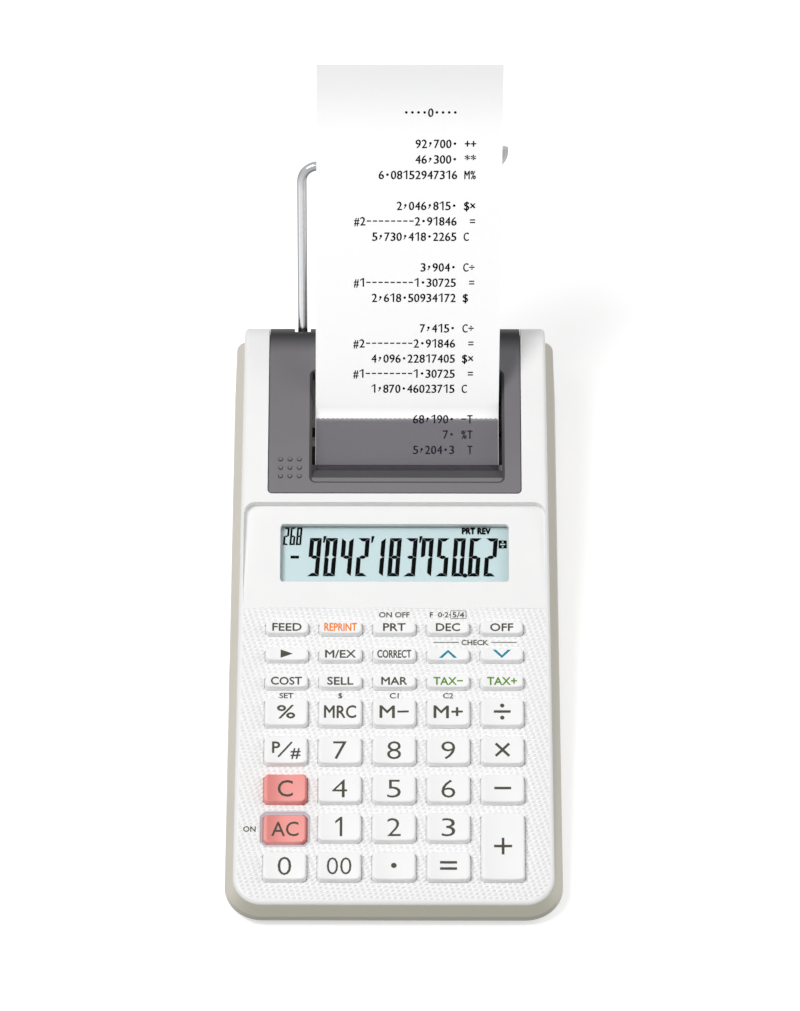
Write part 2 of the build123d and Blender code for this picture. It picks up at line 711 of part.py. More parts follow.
with BuildPart() as printer_cover:
    with BuildSketch(hood) as cover_plan:
        with Locations((0, (cover_setback + hood_run) / 2)):
            Rectangle(cover_width, hood_run - cover_setback)
        fillet(cover_plan.vertices().group_by(Axis.Y)[0], cover_corner)
    extrude(amount=-hood_rear_z)
    extrude(outer_profile(), amount=case_width, both=True, mode=Mode.INTERSECT)
    add(cover_hollow.part, mode=Mode.SUBTRACT)
    with BuildSketch(Plane.XY.offset(rear_wall_top + cover_gap)):
        with Locations((0, hood_rear_y)):
            Rectangle(case_width, 4 * cover_wall)
    extrude(amount=-hood_rear_z, mode=Mode.SUBTRACT)
    # Tub round the paper exit, then the stepped recess through it
    with BuildSketch(hood_section.offset(paper_shift - recess_width / 2 - recess_wall)):
        with BuildLine():
            Polyline(
                (recess_h - recess_wall / 2, -cover_wall / 2),
                (window_h - recess_wall / 2, shelf_bottom),
                (exit_h + recess_wall, shelf_bottom),
                (exit_h + recess_wall, -cover_wall / 2),
                close=True,
            )
        make_face()
    extrude(amount=recess_width + 2 * recess_wall)
    with BuildSketch(hood_section.offset(paper_shift - recess_width / 2)):
        with BuildLine():
            Polyline(
                (recess_h, 0),
                (window_h, -recess_depth),
                (window_h, -window_drop),
                (window_h + window_ledge, -window_drop),
                (window_h + window_ledge, 2 * shelf_bottom),
                (exit_h, 2 * shelf_bottom),
                (exit_h, cover_wall),
                (recess_h, cover_wall),
                close=True,
            )
        make_face()
    extrude(amount=recess_width, mode=Mode.SUBTRACT)
    with BuildSketch(hood):
        with Locations((paper_shift, (recess_h + exit_h) / 2)):
            mouth_width = recess_width + 2 * mouth_chamfer
            RectangleRounded(mouth_width, exit_h - recess_h + 2 * mouth_chamfer, mouth_corner)
    extrude(amount=-mouth_chamfer, taper=mouth_slope, mode=Mode.SUBTRACT)
    with BuildSketch(hood):
        with Locations((grip_x, grip_h)):
            with GridLocations(grip_pitch, grip_pitch, grip_rows, grip_rows):
                RegularPolygon(grip_radius, dome_sides)
    extrude(amount=grip_height, taper=grip_slope)
    # Slot for the wire arm and the low inlet for the paper in the rolled-over back
    with BuildSketch(Plane.XY):
        with Locations((arm_x, hood_rear_y)):
            Rectangle(2 * (wire_radius + arm_clearance), 2 * (arm_notch))
    extrude(amount=2 * hood_rear_z, mode=Mode.SUBTRACT)
    with BuildSketch(Plane.XY.offset(rear_wall_top)):
        with Locations((paper_shift, hood_rear_y)):
            Rectangle(recess_width, 4 * cover_wall)
    extrude(amount=inlet_height, mode=Mode.SUBTRACT)
printer_cover.part.label = "printer_cover"
export_step(printer_cover.part, "parts/printer_cover.step")

# Paper cutter: smoked plate on the recess shelf, with a saw-tooth tear edge
with BuildPart() as paper_cutter:
    edge = [(cutter_left, window_h + slide_gap)]
    for tooth in range(tooth_count):
        edge.append((cutter_left + tooth * tooth_pitch, tear_h - tooth_depth))
        edge.append((cutter_left + (tooth + 0.5) * tooth_pitch, tear_h))
    edge.append((cutter_left + cutter_width, tear_h - tooth_depth))
    edge.append((cutter_left + cutter_width, window_h + slide_gap))
    with BuildSketch(hood.offset(-window_drop)):
        with BuildLine():
            Polyline(*edge, close=True)
        make_face()
    extrude(amount=window_thickness)
paper_cutter.part.label = "paper_cutter"
export_step(paper_cutter.part, "parts/paper_cutter.step")

# Display lens under the deck opening, and the display glass between lens and board
with BuildPart() as display_window:
    with BuildSketch(deck.offset(-deck_wall)):
        with Locations((0, display_middle)):
            lens_width = display_width + 2 * lens_overlap
            RectangleRounded(lens_width, display_depth + 2 * lens_overlap, display_corner)
    extrude(amount=-lens_thickness)
display_window.part.label = "display_window"
export_step(display_window.part, "parts/display_window.step")

with BuildPart() as lcd_panel:
    with BuildSketch(deck.offset(board_level)):
        with Locations((0, display_middle)):
            Rectangle(display_width + 2 * lcd_border, display_depth + 2 * lcd_border)
    extrude(amount=-board_level - deck_wall - lens_thickness - glue_gap)
lcd_panel.part.label = "lcd_panel"
export_step(lcd_panel.part, "parts/lcd_panel.step")

# Rubber key mat with one dome under each key, drawn at the pressed height
with BuildPart() as key_membrane:
    with BuildSketch(deck.offset(board_level)):
        with Locations((0, (mat_front + mat_rear) / 2)):
            Rectangle(key_block + 2 * key_flange, mat_rear - mat_front)
    extrude(amount=mat_thickness)
    with BuildSketch(deck.offset(mat_level)):
        for name, x, s, depth, height in keys:
            with Locations((x, s)):
                RegularPolygon(dome_radius, dome_sides)
    extrude(amount=dome_height)
key_membrane.part.label = "key_membrane"
export_step(key_membrane.part, "parts/key_membrane.step")

# Main board with its chip and the power jack on a riser
with BuildPart() as main_board:
    with BuildSketch(deck.offset(board_level)):
        with Locations((0, (mat_front + board_rear) / 2)):
            Rectangle(2 * (boss_x + boss_radius), board_rear - mat_front)
        with Locations(*deck_bosses):
            RegularPolygon(screw_radius + 2 * screw_gap, screw_sides, mode=Mode.SUBTRACT)
    extrude(amount=-board_thickness)
    with BuildSketch(deck.offset(board_level - board_thickness)):
        with Locations((0, mat_rear / 2)):
            Rectangle(chip_size, chip_size)
    extrude(amount=-board_thickness)
    with BuildSketch(Plane.XY.offset(jack_z - jack_width / 2)):
        with Locations((jack_x + jack_length / 2, jack_y)):
            Rectangle(jack_length, jack_width)
    extrude(amount=jack_rise)
    split(bisect_by=deck.offset(board_level), keep=Keep.BOTTOM)
    with BuildSketch(Plane.YZ.offset(jack_x)):
        with Locations((jack_y, jack_z)):
            Circle(jack_bore_radius)
    extrude(amount=jack_bore_length, mode=Mode.SUBTRACT)
main_board.part.label = "main_board"
export_step(main_board.part, "parts/main_board.step")

# Keys: flanged caps with drafted sides, held up against the underside of the deck
for name, x, s, depth, height in keys:
    with BuildPart() as key:
        with BuildSketch(deck.offset(-deck_wall - flange_thickness)):
            with Locations((x, s)):
                Rectangle(key_width + 2 * key_flange, depth + 2 * key_flange)
        extrude(amount=flange_thickness)
        with BuildSketch(deck.offset(-deck_wall)):
            with Locations((x, s)):
                clipped(key_width, depth, key_clip)
        extrude(amount=deck_wall + height, taper=key_draft)
        chamfer(key.faces().sort_by(deck_axis)[-1].edges(), key_edge)
    key.part.label = name
    export_step(key.part, "parts/" + name + ".step")

# Cells in series, with their contact plates on the end walls of the bay
with BuildPart() as batteries:
    for index in range(cell_count):
        toward = 1 if index % 2 else -1
        middle = Plane(origin=(cell_x[index], cell_middle, cell_z), x_dir=(1, 0, 0), z_dir=(0, toward, 0))
        with BuildSketch(middle.offset(-cell_length / 2)):
            Circle(cell_radius)
        extrude(amount=cell_length - nub_length)
        with BuildSketch(middle):
            RegularPolygon(nub_radius, 2 * dome_sides)
        extrude(amount=cell_length / 2)
batteries.part.label = "batteries"
export_step(batteries.part, "parts/batteries.step")

with BuildPart() as battery_contacts:
    for wall_y, toward, centres, widths in contact_plates:
        wall = Plane(origin=(0, wall_y, cell_z), x_dir=(-toward, 0, 0), z_dir=(0, toward, 0))
        for centre, width in zip(centres, widths):
            with BuildSketch(wall):
                with Locations((-toward * centre, 0)):
                    Rectangle(width, contact_height)
            extrude(amount=contact_thickness)
        with BuildSketch(wall):
            with Locations(*[(-toward * x, 0) for x in cell_x]):
                RegularPolygon(nub_radius, dome_sides)
        extrude(amount=contact_room - roller_gap)
battery_contacts.part.label = "battery_contacts"
export_step(battery_contacts.part, "parts/battery_contacts.step")

# Printer chassis: two bearing plates and a motor cheek between low cross walls
with BuildPart() as printer_frame:
    for plate_x in (right_plate, left_plate - cheek, motor_plate - cheek):
        with BuildSketch(Plane.YZ.offset(plate_x)):
            with Locations(((frame_front + frame_rear) / 2, (roof_top + frame_top) / 2)):
                Rectangle(frame_rear - frame_front, frame_top - roof_top)
            with Locations((drum_y, drum_z), (platen_y, drum_z)):
                Circle(axle_radius, mode=Mode.SUBTRACT)
        extrude(amount=cheek)
    for plate_x in (right_plate, left_plate - cheek):
        with BuildSketch(Plane.YZ.offset(plate_x)):
            with Locations((ink_y, drum_z)):
                Circle(axle_radius)
        extrude(amount=cheek, mode=Mode.SUBTRACT)
    with BuildSketch(Plane.YZ.offset(motor_plate - cheek)):
        with Locations((pinion_y, pinion_z)):
            Circle(motor_shaft_radius + 2 * running_gap)
    extrude(amount=cheek, mode=Mode.SUBTRACT)
    for wall_y in (frame_front, frame_rear - cheek):
        with BuildSketch(Plane.XY.offset(roof_top)):
            with Locations(((motor_plate - cheek + right_plate + cheek) / 2, wall_y + cheek / 2)):
                Rectangle(right_plate - motor_plate + 2 * cheek, cheek)
        extrude(amount=cross_wall)
printer_frame.part.label = "printer_frame"
export_step(printer_frame.part, "parts/printer_frame.step")

# Rollers: each has its axle, and the drum and platen carry their gears
with BuildPart() as type_drum:
    with BuildSketch(Plane.YZ.offset(roller_left)):
        with Locations((drum_y, drum_z)):
            RegularPolygon(drum_radius, drum_faces)
    extrude(amount=roller_length)
    with BuildSketch(Plane.YZ.offset(gear_left)):
        with Locations((drum_y, drum_z)):
            gear_outline(drum_teeth, 0)
    extrude(amount=gear_width)
    with BuildSketch(Plane.YZ.offset(axle_left)):
        with Locations((drum_y, drum_z)):
            Circle(axle_radius - running_gap)
    extrude(amount=axle_length)
type_drum.part.label = "type_drum"
export_step(type_drum.part, "parts/type_drum.step")

with BuildPart() as feed_roller:
    with BuildSketch(Plane.YZ.offset(roller_left)):
        with Locations((platen_y, drum_z)):
            Circle(platen_radius)
    extrude(amount=roller_length)
    with BuildSketch(Plane.YZ.offset(gear_left)):
        with Locations((platen_y, drum_z)):
            gear_outline(platen_teeth, 180 / platen_teeth)
    extrude(amount=gear_width)
    with BuildSketch(Plane.YZ.offset(axle_left)):
        with Locations((platen_y, drum_z)):
            Circle(axle_radius - running_gap)
    extrude(amount=axle_length)
feed_roller.part.label = "feed_roller"
export_step(feed_roller.part, "parts/feed_roller.step")

with BuildPart() as ink_roller:
    with BuildSketch(Plane.YZ.offset(roller_left)):
        with Locations((ink_y, drum_z)):
            Circle(ink_radius)
    extrude(amount=roller_length)
    with BuildSketch(Plane.YZ.offset(left_plate - cheek)):
        with Locations((ink_y, drum_z)):
            Circle(axle_radius - running_gap)
    extrude(amount=right_plate - left_plate + 2 * cheek)
ink_roller.part.label = "ink_roller"
export_step(ink_roller.part, "parts/ink_roller.step")

with BuildPart() as motor_pinion:
    with BuildSketch(Plane.YZ.offset(gear_left)):
        with Locations((pinion_y, pinion_z)):
            gear_outline(pinion_teeth, 0)
    extrude(amount=gear_width)
    with BuildSketch(Plane.YZ.offset(motor_plate - cheek - shaft_depth)):
        with Locations((pinion_y, pinion_z)):
            Circle(motor_shaft_radius)
    extrude(amount=shaft_depth + cheek + cheek_gap)
motor_pinion.part.label = "motor_pinion"
export_step(motor_pinion.part, "parts/motor_pinion.step")

with BuildPart() as drive_motor:
    with BuildSketch(Plane.YZ.offset(motor_plate - cheek - motor_length)):
        with Locations((pinion_y, pinion_z)):
            Circle(motor_radius)
            Rectangle(2 * motor_radius, motor_flat, mode=Mode.INTERSECT)
    extrude(amount=motor_length)
    with BuildSketch(Plane.YZ.offset(motor_plate - cheek)):
        with Locations((pinion_y, pinion_z)):
            Circle(motor_shaft_radius + running_gap)
    extrude(amount=-shaft_depth - running_gap, mode=Mode.SUBTRACT)
drive_motor.part.label = "drive_motor"
export_step(drive_motor.part, "parts/drive_motor.step")

# Paper strip: up round the platen, behind the tear edge, then leaning back
with BuildPart() as paper_strip:
    with BuildSketch(Plane.YZ.offset(paper_shift - paper_width / 2)):
        with BuildLine() as web:
            Line(inlet_point, wrap_start)
            ThreePointArc(wrap_start, (platen_y - wrap_radius, drum_z), wrap_end)
            Line(wrap_end, tear_point)
            ThreePointArc(tear_point, bend_point(bend_middle), bend_point(paper_lean))
            Line(bend_point(paper_lean), paper_end)
            offset(amount=paper_thickness, side=Side.LEFT)
        make_face()
    extrude(amount=paper_width)
paper_strip.part.label = "paper_strip"
export_step(paper_strip.part, "parts/paper_strip.step")

# Paper arm: one bent wire, plugged into its slanted socket
with BuildPart() as roll_arm:
    with BuildLine() as wire:
        FilletPolyline(*arm_points, radius=arm_bend)
    with BuildSketch(Plane(origin=arm_points[0], x_dir=(1, 0, 0), z_dir=arm_plane.z_dir)):
        Circle(wire_radius)
    sweep(path=wire.wires()[0])
roll_arm.part.label = "roll_arm"
export_step(roll_arm.part, "parts/roll_arm.step")

# Screws and feet, each kind in one group
with BuildPart() as case_screws:
    for x, y, post_top in screw_places:
        seat = post_top + screw_bite - screw_length
        with BuildSketch(Plane.XY.offset(seat)):
            with Locations((x, y)):
                RegularPolygon(screw_head_radius, screw_sides)
        extrude(amount=-screw_head_height)
        with BuildSketch(Plane.XY.offset(seat)):
            with Locations((x, y)):
                RegularPolygon(screw_radius, screw_sides)
        extrude(amount=screw_length)
case_screws.part.label = "case_screws"
export_step(case_screws.part, "parts/case_screws.step")

with BuildPart() as rubber_feet:
    with BuildSketch(Plane.XY):
        with Locations(*foot_places):
            Circle(foot_radius)
    extrude(amount=foot_height + foot_seat)
rubber_feet.part.label = "rubber_feet"
export_step(rubber_feet.part, "parts/rubber_feet.step")

print("case", round(case_width, 2), round(case_depth, 2), "deck angle", round(deck_angle, 2))
print("hood front", round(hood_front_z, 2), "hood rear", round(hood_rear_z, 2), "exit", round(exit_angle, 2))
print("whole depth", round(whole_depth, 2), "cover", round(cover_width, 2))
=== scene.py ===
# %% [markdown]
# # A portable printing calculator
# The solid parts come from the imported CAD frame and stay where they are. This lesson gives each of them its finish, and
# makes the pieces that CAD leaves plain: soft-edged key caps, the print on them, the display's digits and the paper
# strip with its printed lines. Lengths on the part are written in millimetres and scaled where they are used; the
# studio round it is in metres.

# %% Load the frame
import json
from collections import Counter
from math import asin, atan2, cos, degrees, pi, radians, sin
from types import SimpleNamespace

import bmesh
import bpy
from mathutils import Matrix, Vector


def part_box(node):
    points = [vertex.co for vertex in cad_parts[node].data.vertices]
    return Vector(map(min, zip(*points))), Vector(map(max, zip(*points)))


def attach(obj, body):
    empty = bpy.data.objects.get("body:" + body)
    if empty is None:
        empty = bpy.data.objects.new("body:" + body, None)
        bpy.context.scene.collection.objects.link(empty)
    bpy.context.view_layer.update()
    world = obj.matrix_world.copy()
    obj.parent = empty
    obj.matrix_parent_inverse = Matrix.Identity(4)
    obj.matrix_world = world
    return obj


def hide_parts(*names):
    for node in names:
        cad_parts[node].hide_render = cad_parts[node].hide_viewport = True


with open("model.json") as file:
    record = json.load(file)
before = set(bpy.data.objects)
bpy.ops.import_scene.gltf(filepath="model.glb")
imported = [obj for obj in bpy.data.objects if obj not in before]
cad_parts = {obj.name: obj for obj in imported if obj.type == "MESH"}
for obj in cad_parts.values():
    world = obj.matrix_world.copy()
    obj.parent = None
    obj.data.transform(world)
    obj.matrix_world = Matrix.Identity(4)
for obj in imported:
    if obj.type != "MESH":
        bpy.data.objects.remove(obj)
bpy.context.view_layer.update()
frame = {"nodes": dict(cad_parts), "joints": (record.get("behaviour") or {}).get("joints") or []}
mm = 0.001
nodes = frame["nodes"]
joints = {joint["name"]: joint for joint in frame["joints"]}

# %% [markdown]
# ## Where things lie
# Every key slides square to the sloping deck, so a key's joint already knows the deck's direction. From that direction
# we make a small frame of our own: x to the right, s up the slope and h away from the deck. Reading the slope from the
# joint keeps the print on the keys even if the case is made steeper.

# %% Directions of the deck
to_right, to_back, upwards = Vector((1, 0, 0)), Vector((0, 1, 0)), Vector((0, 0, 1))
key_height = 2.3
deck_up = -Vector(joints["key_5_press"]["axis"]).normalized()
deck_back = Vector((0, deck_up.z, -deck_up.y))


def reach(node, direction):
    """Least and greatest distance of a node along a direction, in millimetres."""
    distances = [vertex.co.dot(direction) / mm for vertex in nodes[node].data.vertices]
    return min(distances), max(distances)


deck_level = reach("key_5", deck_up)[1] - key_height


def deck_place(x, s, h=0.0):
    """Matrix that puts a flat drawing, made in millimetres, on the deck."""
    spot = to_right * x + deck_back * s + deck_up * (deck_level + h)
    turn = Matrix((to_right, deck_back, deck_up)).transposed().to_4x4()
    return Matrix.Translation(spot * mm) @ turn @ Matrix.Scale(mm, 4)


deck_slope = degrees(atan2(-deck_up.y, deck_up.z))
print("deck slope", round(deck_slope, 2), "degrees, level", round(deck_level, 2), "mm")

# %% [markdown]
# ## Camera
# The photograph was taken from far away with a long lens, about 55 degrees above the table, so its edges hardly
# converge. The eye and the aim are measured from a point on the table, a set distance behind the front edge of the
# case. A long lens is described by how many pixels one radian covers; Blender wants that as a focal length on a 36 mm
# sensor.

# %% Camera
photo_height = 1011
pixels_per_radian = 5879.5
sensor = 36.0
datum_setback = 98.31
datum = Vector((0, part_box("lower_case")[0].y + datum_setback * mm, 0))
eye = datum + Vector((3.23, -1003.71, 1520.89)) * mm
aim = datum + Vector((1.651, 45.12, 15.0)) * mm
camera_data = bpy.data.cameras.new("camera")
camera_data.sensor_fit = "VERTICAL"
camera_data.sensor_height = sensor
camera_data.lens = pixels_per_radian / photo_height * sensor
camera = bpy.data.objects.new("camera", camera_data)
camera.location = eye
camera.rotation_euler = (aim - eye).to_track_quat("-Z", "Y").to_euler()
bpy.context.scene.collection.objects.link(camera)
bpy.context.scene.camera = camera
print("lens", round(camera_data.lens, 1), "mm, distance", round((aim - eye).length, 3), "m")

# %% [markdown]
# ## Writing materials as sums
# A finish is a small sum: colour here, a little less there, a bump from a pattern. Blender draws such sums as node
# trees. The class below wraps one socket, so that ordinary operators add the nodes, and its one method `node` adds any
# other kind of node, settings first and then sockets.


# %% A socket with operators
class Wire:
    """One socket of a material, to be added, multiplied and compared like a number."""

    def __init__(self, tree, socket):
        self.tree = tree
        self.socket = socket

    def node(self, kind, settings=None, sockets=None, out=0):
        """Adds a node: its settings first, then the values or links of its sockets."""
        made = self.tree.nodes.new("ShaderNode" + kind)
        for name, value in (settings or {}).items():
            setattr(made, name, value)
        for name, value in (sockets or {}).items():
            if isinstance(value, Wire):
                self.tree.links.new(value.socket, made.inputs[name])
            else:
                made.inputs[name].default_value = value
        return Wire(self.tree, made.outputs[out])

    def math(self, operation, *values):
        """Adds a Math node with its values in order."""
        return self.node("Math", {"operation": operation}, dict(enumerate(values)))

    def __add__(self, other):
        return self.math("ADD", self, other)

    def __sub__(self, other):
        return self.math("SUBTRACT", self, other)

    def __rsub__(self, other):
        return self.math("SUBTRACT", other, self)

    def __mul__(self, other):
        return self.math("MULTIPLY", self, other)

    def __lt__(self, other):
        return self.math("LESS_THAN", self, other)

    def __gt__(self, other):
        return self.math("GREATER_THAN", self, other)

    __radd__ = __add__
    __rmul__ = __mul__

    def above(self, edge, soft):
        """Nothing up to an edge and one beyond it, with a soft step between."""
        return self.node("MapRange", {"interpolation_type": "SMOOTHSTEP"},
                         {"Value": self, "From Min": edge, "From Max": edge + soft})

    def between(self, low, high, soft):
        """One inside a range and nothing outside it, with soft ends."""
        return self.above(low, soft) * (1 - self.above(high - soft, soft))

    def mix(self, first, second):
        """First colour where this is 0, second where it is 1; the numbers are the Mix node's colour sockets."""
        return self.node("Mix", {"data_type": "RGBA"}, {0: self, 6: first, 7: second}, out=2)


print("sockets can be added, subtracted, multiplied and compared")

# %% [markdown]
# ## Starting a finish
# Every finish here starts the same way: a Principled shader, a few fixed values and the place on the piece. The place
# is the object's own coordinate, so a pattern rides along when the piece moves. Soft grain on that place gives the
# small unevenness that every real surface has.

# %% Colours, shaders and grain


def colour(red, green, blue):
    """A colour as a picture editor shows it, turned into the linear numbers that Blender mixes."""
    parts = [value / 255 for value in (red, green, blue)]
    return tuple(p / 12.92 if p <= 0.04045 else ((p + 0.055) / 1.055) ** 2.4 for p in parts) + (1.0,)


def finish(name, **fixed):
    """A new material with a Principled shader; returns it, its shader and a wire with the place on the piece."""
    material = bpy.data.materials.new(name)
    material.use_nodes = True
    shader = material.node_tree.nodes["Principled BSDF"]
    for socket, value in fixed.items():
        shader.inputs[socket.replace("_", " ")].default_value = value
    return material, shader, Wire(material.node_tree, None).node("TexCoord", out="Object")


def plug(shader, socket, wire):
    """Joins a wire to one of the shader's sockets."""
    wire.tree.links.new(wire.socket, shader.inputs[socket])


def grain(place, size, detail=2.0):
    """Soft random grain with a given size in millimetres."""
    return place.node("TexNoise", None, {"Vector": place, "Scale": 1 / (size * mm), "Detail": detail})


def bump(place, strength, depth, height, **normal):
    """A bumped normal: how strongly, how many millimetres deep and from which heights."""
    return place.node("Bump", None, {"Strength": strength, "Distance": depth * mm, "Height": height, **normal})


print("material tools ready")

# %% [markdown]
# ## Floor
# The photograph has a plain white ground. A brighter floor would throw more light on the object, so the floor stays a
# pale sheet and is lifted to white only for rays that come from the camera, straight, mirrored or through glass. Where
# the shadow lies, it stays a little darker.

# %% Floor
floor_half = 6.0
floor_lift = 0.55
floor_mesh = bpy.data.meshes.new("floor")
corners = [(x, y, 0) for x, y in ((-1, -1), (1, -1), (1, 1), (-1, 1))]
floor_mesh.from_pydata([Vector(corner) * floor_half for corner in corners], [], [(0, 1, 2, 3)])
floor = bpy.data.objects.new("floor", floor_mesh)
bpy.context.scene.collection.objects.link(floor)
floor_finish, floor_shader, place = finish("pale_floor", Roughness=0.9, Specular_IOR_Level=0.1,
                                           Emission_Strength=floor_lift)
plug(floor_shader, "Base Color", grain(place, 3.0).mix(colour(214, 214, 214), colour(218, 218, 218)))


def looked_at(tree):
    """One for what the camera sees, straight, mirrored or through glass, and nothing for light on its way."""
    path = Wire(tree, None).node("LightPath").socket.node.outputs
    seen = Wire(tree, path["Is Camera Ray"])
    for kind in ("Is Glossy Ray", "Is Transmission Ray"):
        seen = seen.math("MAXIMUM", seen, Wire(tree, path[kind]))
    return seen


plug(floor_shader, "Emission Color", looked_at(floor_finish.node_tree))
floor_mesh.materials.append(floor_finish)
print("floor of", 2 * floor_half, "m")

# %% [markdown]
# ## Light
# The light is even and soft, and stronger from the upper left. A white sky gives the even part. One broad lamp gives
# the soft shadow and the shine, and a weaker one opens the shade on the right. Area lamps are chosen because their
# size sets how soft a shadow is.

# %% Sky and lamps
sky_strength = 0.3
world = bpy.data.worlds.new("studio")
world.use_nodes = True
bpy.context.scene.world = world
sky = world.node_tree.nodes["Background"]
sky.inputs["Color"].default_value = (1, 1, 1, 1)
plug(sky, "Strength", looked_at(world.node_tree) * (1 - sky_strength) + sky_strength)


def lamp(name, place, size, watts):
    """A square soft lamp that looks at the point where the camera aims."""
    data = bpy.data.lights.new(name, "AREA")
    data.size = size
    data.energy = watts
    made = bpy.data.objects.new(name, data)
    made.location = Vector(place)
    made.rotation_euler = (aim - made.location).to_track_quat("-Z", "Y").to_euler()
    bpy.context.scene.collection.objects.link(made)


lamp("main_lamp", place=(-0.7, -0.2, 1.45), size=0.6, watts=16.0)
lamp("fill_lamp", place=(1.0, 0.0, 0.85), size=0.9, watts=5.0)
bpy.context.scene.view_settings.view_transform = "Standard"
print("sky and two lamps")

# %% [markdown]
# ## Masks
# A finish often changes with the place on the part or with the way a face looks. A dot product with a direction
# measures both: of the place for a distance, and of the normal for how squarely a face looks that way. The Bevel node
# lends a sharp CAD edge the small radius that a mould leaves, without touching the mesh.

# %% Distances, directions and soft edges


def box_mm(node):
    """Lowest and highest corner of a node in millimetres."""
    return [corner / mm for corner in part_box(node)]


def dotted(vector, direction):
    """Dot product of a vector wire and a direction."""
    return vector.node("VectorMath", {"operation": "DOT_PRODUCT"}, {0: vector, 1: tuple(direction)}, out="Value")


def along(place, direction):
    """Distance along a direction, in millimetres."""
    return dotted(place, direction / mm)


def facing(place, direction):
    """How squarely the surface faces a direction."""
    return dotted(place.node("NewGeometry", out="Normal"), direction)


def soft_edge(place, radius):
    """Normal of a surface whose edges are rounded off a little, as a mould leaves them."""
    return place.node("Bevel", {"samples": 6}, {"Radius": radius * mm})


print("mask tools ready")

# %% [markdown]
# ## Weave on the deck
# Around the keys the mould is cut with a fine slanting weave of rice-grain lozenges, which keeps fingerprints away; the
# display panel and the printer hood are smooth. The weave could be modelled, but lozenges of little more than one by
# three millimetres are cheaper and cleaner as a bump. Two crossed cosines make them, and masks keep them on the deck's
# own face and out of the moat.

# %% Deck weave
weave_width = 1.25
weave_length = 3.4
weave_turn = radians(18)
weave_fade = 0.6
weave_margin = 4.5
weave_end = reach("key_feed", deck_back)[1] + weave_margin
deck_squareness, squareness_fade = 0.995, 0.003
moat_depth = 0.25
moat_room = 0.9
moat_fade = 0.01


def below_deck(place):
    """One in the moat round the clear-all key, which lies under the deck's face, and nothing elsewhere."""
    inside = along(place, deck_up) < deck_level - moat_depth
    for direction in (to_right, deck_back):
        low, high = reach("key_all_clear", direction)
        inside = inside * along(place, direction).between(low - moat_room, high + moat_room, moat_fade)
    return inside


def deck_weave(place):
    """Height of the lozenge weave, from 0 to 1, on the deck only."""
    x = along(place, to_right)
    s = along(place, deck_back)
    along_grain = (x * cos(weave_turn) + s * sin(weave_turn)) * (2 * pi / weave_length)
    across_grain = (s * cos(weave_turn) - x * sin(weave_turn)) * (2 * pi / weave_width)
    raised = x.math("COSINE", along_grain) * x.math("COSINE", across_grain) * 0.5 + 0.5
    on_deck = facing(place, deck_up).above(deck_squareness, squareness_fade) * (1 - below_deck(place))
    return raised * on_deck * (1 - s.above(weave_end - weave_fade, weave_fade))


print("weave of", weave_width, "by", weave_length, "mm up to", round(weave_end, 1), "mm")

# %% [markdown]
# ## White shell
# The upper case is moulded in white plastic: a faintly cloudy colour, a fine spark texture, and edges with a small
# radius. The valleys of the weave carry painted shade, so its ridges are a little lighter, and the floor of the moat
# has painted shade too. One function makes the shell, because the lower case is the same plastic in another colour.

# %% White shell
weave_height = 0.36
spark_share = 0.012
shell_edge = 0.35
# where the painted shade on forward-looking faces begins
front_shade_edge, front_shade_fade = 0.3, 0.5
# painted shade on the floor of the moat round the clear-all key
moat_painted_shade = colour(198, 200, 208)
# painted light on the weave's ridges, against painted shade in its valleys
ridge_painted_light = colour(254, 254, 254)


def shell_finish(name, low, high, roughness, weave=False, front_shade=None):
    """Moulded plastic; with the deck's weave, or with painted shade on faces that look forwards, if asked."""
    material, shader, place = finish(name, Specular_IOR_Level=0.35)
    tone = grain(place, 9.0).mix(low, high)
    height = grain(place, 0.35, 1.0) * spark_share
    if weave:
        lozenges = deck_weave(place)
        height = height + lozenges
        # painted shade in the weave's valleys against its lighter ridges, and painted shade on the moat floor
        tone = below_deck(place).mix(lozenges.mix(tone, ridge_painted_light), moat_painted_shade)
    if front_shade:
        # painted shade on the faces that look forwards
        tone = facing(place, -to_back).above(front_shade_edge, front_shade_fade).mix(tone, front_shade)
    plug(shader, "Base Color", tone)
    plug(shader, "Roughness", grain(place, 4.0) * 0.12 + (roughness - 0.06))
    plug(shader, "Normal", bump(place, 1.0, weave_height, height, Normal=soft_edge(place, shell_edge)))
    return material


def dress(node, material):
    """Gives a CAD node its finish."""
    mesh = nodes[node].data
    mesh.materials.clear()
    mesh.materials.append(material)


dress("upper_case", shell_finish("white_shell", colour(238, 238, 238), colour(242, 242, 241), 0.42, weave=True))
print("white shell")

# %% [markdown]
# ## Warm grey tub and rubber
# The lower case is a warm grey, a little darker on the faces that look forwards, which is painted shade. It is the
# same moulded plastic as the upper case, so the same function makes it and the battery cover. The feet, the key mat
# and the feed roller are rubber: dull, and pitted a little, which a grain does in colour, roughness and bump at once.

# %% Lower case, battery cover, feet
# the front colour is painted shade on the forward-looking faces
grey_shell = shell_finish("beige_shell", colour(204, 200, 188), colour(209, 205, 194), 0.45,
                          front_shade=colour(176, 174, 160))
for node in ("lower_case", "battery_cover"):
    dress(node, grey_shell)


def rubber_finish(name, low, high, speck):
    """Soft dull rubber with a fine pitted face."""
    material, shader, place = finish(name, Specular_IOR_Level=0.25)
    pits = grain(place, speck, 3.0)
    plug(shader, "Base Color", pits.mix(low, high))
    plug(shader, "Roughness", pits * 0.2 + 0.65)
    plug(shader, "Normal", bump(place, 0.3, 0.05, pits))
    return material


dress("rubber_feet", rubber_finish("foot_rubber", colour(38, 38, 38), colour(52, 51, 50), 0.5))
dress("key_membrane", rubber_finish("mat_rubber", colour(168, 172, 174), colour(182, 185, 186), 0.8))
dress("feed_roller", rubber_finish("roller_rubber", colour(40, 40, 41), colour(58, 58, 58), 0.3))
print("tub, battery cover, feet, mat and roller")
